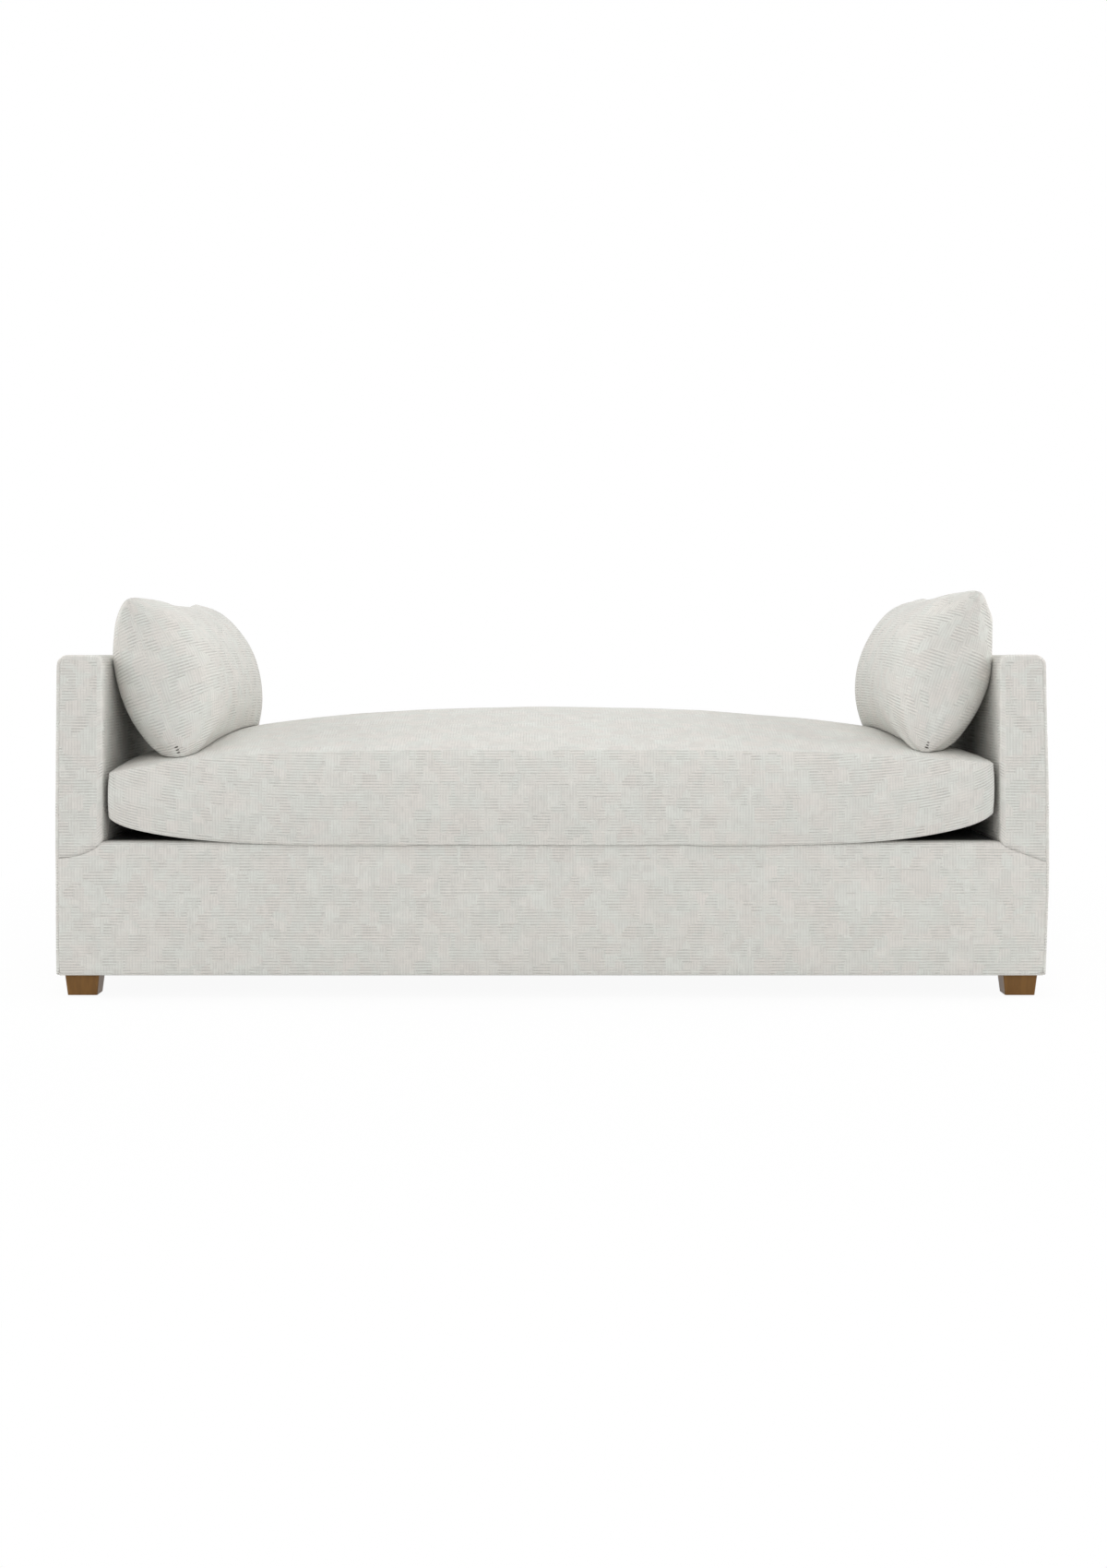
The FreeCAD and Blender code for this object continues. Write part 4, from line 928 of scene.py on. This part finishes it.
tape_x, tape_z = crossed(np.linspace(-ZIP_REACH, ZIP_REACH, 120), np.linspace(-TAPE_HALF, TAPE_HALF, 15))
tape_y = TAPE_FACE + TAPE_BOW - TAPE_FALL * (np.abs(tape_z) / TAPE_HALF) ** 4
tape_panel = (grid_of(tape_x, tape_y, ZIP_LEVEL + tape_z), grid_of(tape_x, tape_z))
tape = sewn("zip_tape", [tape_panel], finished("woven_tape", zip_weave, {}), (0.0, 0.0, ZIP_LEVEL))
thicken(tape, TAPE_THICKNESS)
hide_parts("seat_zip_tape")
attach(tape, "seat_cushion")


def coil_nylon(place):
    sheen = place.stretched(600.0, 200.0, 200.0).cloudy(1.0, 2.0)
    return {
        "Base Color": sheen.between(dye(188, 184, 175), dye(212, 208, 199)),
        "Roughness": sheen * 0.15 + 0.35,
        "Normal": sheen.raised(0.1, 0.0001),
    }


round_angle, down = crossed(np.linspace(0, math.tau, 7), np.linspace(0, 1, 4))
coil_x = COIL_HALF_WIDTH * (1 - 0.25 * down) * np.cos(round_angle)
coil_y = COIL_FACE + COIL_HALF_HEIGHT * np.sin(round_angle) * (1 - 0.2 * down)
coil_z = COIL_HEEL - COIL_LENGTH * down
coil_turns = []
for row, shift in ((-1, 0.0), (1, COIL_PITCH / 2)):
    for place in np.arange(-ZIP_REACH + COIL_END, ZIP_REACH - COIL_END, COIL_PITCH) + shift:
        turn = np.stack([place + coil_x, coil_y, ZIP_LEVEL + row * coil_z], -1)
        coil_turns.append((turn, flat_cloth(turn, 0, 2)))
coil = sewn("zip_coil", coil_turns, finished("coil_nylon", coil_nylon, {}), (0.0, 0.0, ZIP_LEVEL))
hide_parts("seat_zip_chain")
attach(coil, "seat_cushion")


def enamelled_zinc(place):
    wear = place.cloudy(700.0, 3.0, 0.7)
    return {
        "Base Color": wear.between(dye(176, 171, 161), dye(198, 193, 183)),
        "Roughness": wear * 0.25 + 0.25,
        "Metallic": wear.ease(0.62, 0.72),
        "Normal": wear.raised(0.15, 0.0001),
    }


coat(finished("enamelled_zinc", enamelled_zinc, {}), "seat_zip_slider")

# Pillows: two fat loose pillows of the same jacquard over feather and fibre, leaning on the arms.
# Two panels of one outline are sewn along a knife edge all round, so the corners stand out as ears and the
# middle is full. Three dark stitches close the seam by hand at the lower front ear of each.

PILLOW_HALF_LENGTH, PILLOW_HALF_HEIGHT, EAR_RISE = 0.340, 0.169, 0.028
PILLOW_INNER, PILLOW_OUTER = 0.140, 0.112
EAR_RADIUS = 0.028
FRONT_BLUNTNESS, REAR_BLUNTNESS = 8, 4
MIDDLE_ROUNDNESS, EAR_SHARPNESS = 0.8, 0.3
PILLOW_MIDDLE_Y = -0.100
PILLOWS = {
    "left": {"side": -1, "stand_off": 0.128, "rise": 0.346, "lean": 19.0, "turn": 4.0},
    "right": {"side": 1, "stand_off": 0.102, "rise": 0.362, "lean": 19.0, "turn": 1.0},
}
PILLOW_SWELL = 0.008
PILLOW_REACH, PILLOW_HOLD, PILLOW_CLEARANCE = 0.012, 0.008, 0.0012
FEATHER_LUMP, FEATHER_HEIGHT, FEATHER_SEED = 0.10, 0.0022, 7.0
FOLD_HEIGHT, FOLD_AWAY, FOLD_SPREAD, FOLDS = 0.0022, 0.075, 0.045, 9
PILLOW_SEAM_SHARE, SEAM_BAND, CLOTH_SHIFT = 0.6, 0.002, 0.3
STITCH_HALF, STITCH_RADIUS, STITCH_RISES = 0.0050, 0.0015, (0.008, 0.015, 0.022)
ABOVE_ALL, DOWN = 1.2, Vector((0, 0, -1))


def pillow_grid(bulge):
    """One panel of a pillow in its own frame, from the seam below to the seam above, and from end to end."""
    station = np.sin(np.linspace(-math.pi / 2, math.pi / 2, 116))[:, None]
    up = np.linspace(0, math.pi, 60)
    off = np.abs(station)
    half = PILLOW_HALF_HEIGHT + EAR_RISE * off**4
    bluntness = np.where(station < 0, FRONT_BLUNTNESS, REAR_BLUNTNESS)
    full = (bulge - math.copysign(PILLOW_SWELL, bulge)) * np.sqrt(1 - off**bluntness)
    z = -half * np.cos(up)
    y = station * PILLOW_HALF_LENGTH + 0 * z
    beside, above = np.abs(y) - (PILLOW_HALF_LENGTH - EAR_RADIUS), np.abs(z) - (half - EAR_RADIUS)
    in_corner = (beside > 0) & (above > 0)
    pull = np.where(in_corner, np.maximum(beside, above) / np.maximum(np.hypot(beside, above), TINY) - 1, 0)
    y += np.sign(y) * beside * pull
    z += np.sign(z) * above * pull
    return np.stack([full * np.sin(up) ** (MIDDLE_ROUNDNESS + EAR_SHARPNESS * off**4), y, z], -1)


def stance(side, lean, turn):
    """Turns a pillow's own frame, X towards the seat, to how it leans on its arm."""
    lean, turn = math.radians(side * lean), math.radians(side * turn)
    leaned = np.array([[math.cos(lean), 0, math.sin(lean)], [0, 1, 0], [-math.sin(lean), 0, math.cos(lean)]])
    turned = np.array([[math.cos(turn), -math.sin(turn), 0], [math.sin(turn), math.cos(turn), 0], [0, 0, 1]])
    return turned @ leaned @ np.diag([-side, 1, 1])


def ear_folds(own, seed):
    """Shallow folds that fan out from each ear into the panel."""
    across = PILLOW_HALF_LENGTH - np.abs(own[:, 1])
    above = PILLOW_HALF_HEIGHT + EAR_RISE - np.abs(own[:, 2])
    away, angle = np.hypot(across, above), np.arctan2(above, across)
    corner = 2.1 * (own[:, 1] > 0) + 3.7 * (own[:, 2] > 0) + 1.3 * (own[:, 0] > 0) + seed
    fade = np.exp(-(((away - FOLD_AWAY) / FOLD_SPREAD) ** 2))
    return FOLD_HEIGHT * np.sin(FOLDS * angle + corner) * fade


def dark_thread(place):
    twist = (place.cloudy(900.0, 2.0) * 20.0).apply("SINE")
    return {
        "Base Color": (twist * 0.4 + 0.5).between(dye(44, 41, 36), dye(78, 73, 64)),
        "Roughness": twist * 0.05 + 0.7,
        "Normal": twist.raised(0.3, 0.0002),
    }


def stitch_at(point, out, across):
    """A short thread that lies across the seam at a point."""
    across = across - out * (across @ out)
    across /= np.linalg.norm(across)
    along, angle = crossed(np.linspace(-1, 1, 9), np.linspace(0, math.tau, 9))
    radius = STITCH_RADIUS * np.sqrt(1 - along**2)
    round_it = np.cos(angle)[..., None] * out + np.sin(angle)[..., None] * np.cross(out, across)
    return point + (along * STITCH_HALF)[..., None] * across + radius[..., None] * round_it


thread_finish = finished("dark_thread", dark_thread, {})
bpy.context.view_layer.update()
bed = BVHTree.FromObject(cushion, bpy.context.evaluated_depsgraph_get())
for name, place in PILLOWS.items():
    side = place["side"]
    lie = stance(side, place["lean"], place["turn"])
    middle = np.array([side * (ARM_INSIDE - place["stand_off"]), PILLOW_MIDDLE_Y, DECK + place["rise"]])
    panels = []
    for bulge in (PILLOW_INNER, -PILLOW_OUTER):
        own = pillow_grid(bulge)
        cloth = np.stack(crossed(run_of(own[:, own.shape[1] // 2]), run_of(own[own.shape[0] // 2])), -1)
        panels.append((own @ lie.T + middle, cloth + side * CLOTH_SHIFT))
    pillow = sewn(f"{name}_pillow_soft", panels, ivory, tuple(middle))
    began = read_points(pillow)
    edge_lines = [dense_line(line) for line in (own[0], own[-1], own[:, 0], own[:, -1])]
    from_seam = seam_gaps(began, np.concatenate(edge_lines) @ lie.T + middle)
    plumped(pillow, np.exp(-((from_seam / PILLOW_HOLD) ** 2)), PILLOW_REACH, FILL_PRESSURE)
    own = (began - middle) @ lie
    relief = seam_dent(from_seam) * PILLOW_SEAM_SHARE
    relief += unevenness(began, FEATHER_LUMP, FEATHER_HEIGHT, side * FEATHER_SEED)
    relief += ear_folds(own, side)
    points = read_points(pillow)
    points += read_normals(pillow) * relief[:, None]
    points[:, 0] = side * np.minimum(points[:, 0] * side, ARM_INSIDE - PILLOW_CLEARANCE)
    for point in points:
        under = bed.ray_cast(Vector((point[0], point[1], ABOVE_ALL)), DOWN)[0]
        if under is not None:
            point[2] = max(point[2], under.z + PILLOW_CLEARANCE)
    set_points(pillow, points)
    soften(pillow)
    upholster(pillow, f"{name}_pillow", "upholstery", 0.7, f"{name}_pillow_cover", f"{name}_pillow_fill")

    out = read_normals(pillow)
    at_front, at_seam = own[:, 1] < SEAM_BAND - PILLOW_HALF_LENGTH, np.abs(own[:, 0]) < SEAM_BAND
    front_seam = np.flatnonzero(at_front & at_seam)
    seam_rise = points[front_seam, 2] - points[front_seam, 2].min()
    stitches = []
    for rise in STITCH_RISES:
        nearest = front_seam[np.abs(seam_rise - rise).argmin()]
        grid = stitch_at(points[nearest], out[nearest], lie[:, 0])
        stitches.append((grid, flat_cloth(grid, 0, 2)))
    tack = sewn(f"{name}_pillow_stitches", stitches, thread_finish, tuple(middle))
    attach(tack, f"{name}_pillow")

# Studio: a plain white floor that keeps a soft shadow, white surroundings, large soft lamps from above, in
# front and both sides, and a level camera straight before the daybed.

WORLD_LIGHT = 0.52
FLOOR_HALF, FLOOR_GREY, FLOOR_NEAR, FLOOR_FAR, NEAR_SHARE = 14.0, 0.86, 1.2, 3.0, 0.94
scene = bpy.context.scene
scene.view_settings.view_transform = "Standard"


def background_share(start):
    """1 for rays from the camera, by a mirror or through glass, and 0 for light on the object."""
    kinds = ("Is Camera Ray", "Is Glossy Ray", "Is Transmission Ray")
    seen, mirrored, through = (start.node("LightPath", {}, {}, kind) for kind in kinds)
    return start.math("MAXIMUM", start.math("MAXIMUM", seen, mirrored), through)


world = bpy.data.worlds.new("studio")
scene.world = world
world.use_nodes = True
tree = world.node_tree
surround = tree.nodes["Background"]
surround.inputs["Color"].default_value = (1.0, 1.0, 1.0, 1.0)
sky = Tone(tree, None)
strength = sky.node("MapRange", {}, {"Value": background_share(sky), "To Min": WORLD_LIGHT, "To Max": 1.0})
tree.links.new(strength.socket, surround.inputs["Strength"])

floor_mesh = bpy.data.meshes.new("floor")
corners = [(x * FLOOR_HALF, y * FLOOR_HALF, 0) for x, y in ((-1, -1), (1, -1), (1, 1), (-1, 1))]
floor_mesh.from_pydata(corners, [], [(0, 1, 2, 3)])
floor = bpy.data.objects.new("floor", floor_mesh)
scene.collection.objects.link(floor)
floor_paint = bpy.data.materials.new("floor_paint")
floor_paint.use_nodes = True
tree = floor_paint.node_tree
matt = tree.nodes["Principled BSDF"]
matt.inputs["Base Color"].default_value = (FLOOR_GREY, FLOOR_GREY, FLOOR_GREY, 1.0)
matt.inputs["Roughness"].default_value = 1.0
place = Tone(tree, tree.nodes.new("ShaderNodeTexCoord").outputs["Object"])
away = place.node("VectorMath", {"operation": "LENGTH"}, {0: place}, "Value")
white = background_share(place) * (away.ease(FLOOR_NEAR, FLOOR_FAR) * (1 - NEAR_SHARE) + NEAR_SHARE)
painted = place.node("MixShader", {}, {0: white, 1: Tone(tree, matt.outputs[0]), 2: place.node("Emission")})
tree.links.new(painted.socket, tree.nodes["Material Output"].inputs["Surface"])
floor_mesh.materials.append(floor_paint)

for lamp_name, place, target, size, energy in (
    ("overhead", (0.0, -0.4, 3.3), (0.0, 0.0, 0.3), (4.0, 2.4), 34.0),
    ("front", (0.2, -4.8, 2.4), (0.0, 0.0, 0.4), (2.6, 2.0), 57.0),
    ("side_right", (3.6, 0.0, 1.8), (0.0, 0.0, 0.6), (2.4, 2.0), 52.0),
    ("side_left", (-3.6, 0.0, 1.8), (0.0, 0.0, 0.6), (2.4, 2.0), 46.0),
):
    lamp_data = bpy.data.lights.new(lamp_name, "AREA")
    lamp_data.shape = "RECTANGLE"
    lamp_data.size, lamp_data.size_y = size
    lamp_data.energy = energy
    lamp = bpy.data.objects.new(lamp_name, lamp_data)
    lamp.location = place
    lamp.rotation_euler = (Vector(target) - Vector(place)).to_track_quat("-Z", "Y").to_euler()
    scene.collection.objects.link(lamp)

PHOTO_WIDE, PHOTO_HIGH = 1200, 1700
DAYBED_MIDDLE, HORIZON = 597.5, 711
CAMERA_AWAY, EYE_LEVEL, SENSOR = 5.0, 0.737, 36.0
METRES_PER_PIXEL = 0.001987
camera_data = bpy.data.cameras.new("camera")
camera_data.sensor_width = SENSOR
camera_data.lens = SENSOR * CAMERA_AWAY / (PHOTO_HIGH * METRES_PER_PIXEL)
camera_data.shift_x = (PHOTO_WIDE / 2 - DAYBED_MIDDLE) / PHOTO_HIGH
camera_data.shift_y = (HORIZON - PHOTO_HIGH / 2) / PHOTO_HIGH
camera = bpy.data.objects.new("camera", camera_data)
camera.location = (0.0, -HALF_DEPTH - CAMERA_AWAY, EYE_LEVEL)
camera.rotation_euler = (math.pi / 2, 0.0, 0.0)
scene.collection.objects.link(camera)
scene.camera = camera

bpy.context.view_layer.update()
